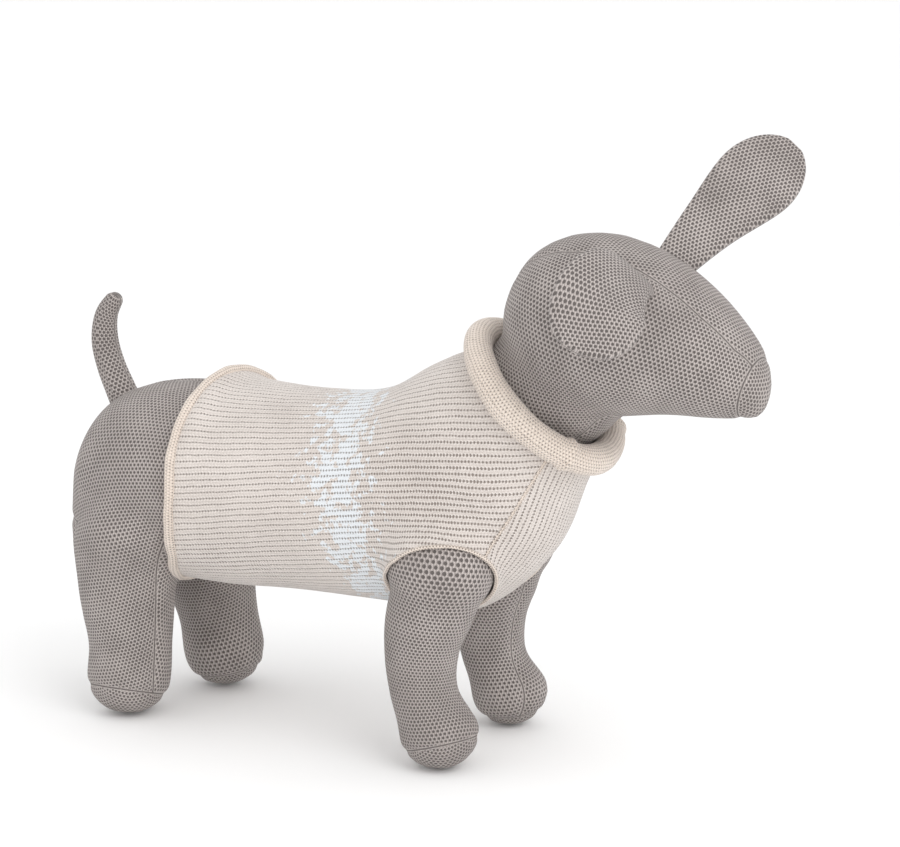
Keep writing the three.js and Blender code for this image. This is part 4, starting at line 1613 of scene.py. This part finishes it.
    def edges(self, loops: list[Array]) -> list[bpy.types.Object]:
        """The rolled hem and collar and the bound armholes."""
        pieces = []
        for loop in loops[:4]:
            middle = loop.mean(axis=0)
            if middle[0] < -60:
                pieces.append(self.roll(even_loop(loop, 170, 3), self.hem_roll, 14, "hem_roll"))
            elif middle[2] < 150:
                side = "right" if middle[1] < 0 else "left"
                line = even_loop(loop, 110, 6)
                pieces.append(self.roll(line, self.armhole_edge, 10, f"armhole_edge_{side}"))
        pieces.append(self.collar())
        return pieces

    def roll(self, line: Array, radius: float, sides: int, name: str) -> bpy.types.Object:
        """A rolled or bound edge along a line, a little uneven."""
        beat = np.arange(len(line))
        size = radius * (1 + 0.05 * np.sin(beat * 0.37) + 0.04 * np.sin(beat * 0.83 + 1))
        return self.sewn(name, tube(line, size, sides, True), f"sweater_{name}")

    def collar(self) -> bpy.types.Object:
        """The thick rolled collar, a little uneven, with two seam lumps."""
        turn = np.linspace(0, 2 * math.pi, 200, endpoint=False)
        centre, up, way = self.ring()
        radius = self.collar_radius + 0.7 * np.sin(3 * turn + 0.5) + 0.4 * np.sin(5 * turn)
        line = (
            centre
            + (radius * np.cos(turn))[:, None] * up
            + (radius * np.sin(turn))[:, None] * np.array([0, -1.0, 0])
            + (0.8 * np.sin(2 * turn + 1.0))[:, None] * way
        )
        size = self.collar_roll * (1 + 0.03 * np.sin(4 * turn + 2) + 0.02 * np.sin(9 * turn))
        for place in self.collar_lumps:
            lump = np.exp(-(((turn - place) / self.collar_lump_width) ** 2))
            size += self.collar_lump * lump
        return self.sewn("collar_roll", tube(line, size, 30, True), "sweater_collar_roll")


# ---------------------------------------------------------------- studio


@dataclass
class Studio:
    """The floor, the lights and the camera."""

    target: tuple[float, float, float] = (0.0275, 0.0, 0.182)
    azimuth: float = 27.0
    elevation: float = 11.0
    distance: float = 1.4
    lens: float = 101.8
    daylight: float = 1.03
    floor_half: float = 15e3
    floor_steps: int = 24

    def place(self, azimuth: float, elevation: float, distance: float) -> Vector:
        """A place round the target. Azimuth 0 looks along +Y."""
        a, e = math.radians(azimuth), math.radians(elevation)
        way = Vector((math.sin(a) * math.cos(e), -math.cos(a) * math.cos(e), math.sin(e)))
        return Vector(self.target) + way * distance

    def stand(self, thing: bpy.types.Object, azimuth: float, elevation: float, away: float) -> None:
        """Puts a lamp or the camera round the target, facing it."""
        thing.location = self.place(azimuth, elevation, away)
        facing = thing.location - Vector(self.target)
        thing.rotation_euler = facing.to_track_quat("Z", "Y").to_euler()
        bpy.context.scene.collection.objects.link(thing)

    def lamp(
        self, name: str, way: tuple[float, float], away: float, size: float, power: float
    ) -> None:
        """A soft square lamp that faces the target.

        Args:
            name: The lamp's name.
            way: Its azimuth and elevation, in degrees.
            away: How far it is from the target, in metres.
            size: Its side, in metres.
            power: Its power, in watts.
        """
        data = bpy.data.lights.new(name, "AREA")
        data.size = size
        data.energy = power
        self.stand(bpy.data.objects.new(name, data), *way, away)

    def floor(self) -> None:
        """A wide level floor as a grid of points."""
        line = np.linspace(-self.floor_half, self.floor_half, self.floor_steps)
        x, y = np.meshgrid(line, line, indexing="ij")
        points = np.stack([x, y, np.zeros_like(x)], axis=-1).reshape(-1, 3)
        faces = grid_faces(self.floor_steps, self.floor_steps, False)
        made_piece("floor", Surface(points, faces).turned(), Ground().made())

    def build(self) -> None:
        """Makes the studio."""
        scene = bpy.context.scene
        data = bpy.data.cameras.new("camera")
        data.lens = self.lens
        data.sensor_width = 36
        data.sensor_fit = "HORIZONTAL"
        camera = bpy.data.objects.new("camera", data)
        self.stand(camera, self.azimuth, self.elevation, self.distance)
        scene.camera = camera
        self.floor()
        world = bpy.data.worlds.new("studio")
        scene.world = world
        world.use_nodes = True
        background = world.node_tree.nodes["Background"]
        background.inputs["Color"].default_value = srgb("FFFFFF")
        background.inputs["Strength"].default_value = self.daylight
        self.lamp("key", (60, 40), 1.7, 1.0, 7.0)
        self.lamp("fill", (38, 4), 2.0, 1.2, 6.0)
        scene.view_settings.view_transform = "Standard"
        scene.view_settings.look = "None"


def main() -> None:
    """Dresses the frame."""
    logging.basicConfig(level=logging.INFO, format="%(name)s: %(message)s")
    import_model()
    Studio().build()
    purl = Knit(
        "cotton_jersey_reverse",
        KnitSide.PURL,
        yarn="EADED3",
        yarn_dark="C7B6A8",
        wale=1.9,
        course=1.7,
        dot=0.3,
    )
    plain = Knit("cotton_jersey", KnitSide.PLAIN)
    finishes = Finishes(SpacerMesh().made(), plain.made(), purl.made())
    for assembly in (Rump, FrontLegs, Head, Ears, Tail, Sweater):
        pieces = assembly(finishes).build()
        LOG.info("%s: %s", assembly.__name__, ", ".join(piece.name for piece in pieces))


if __name__ == "__main__":
    main()
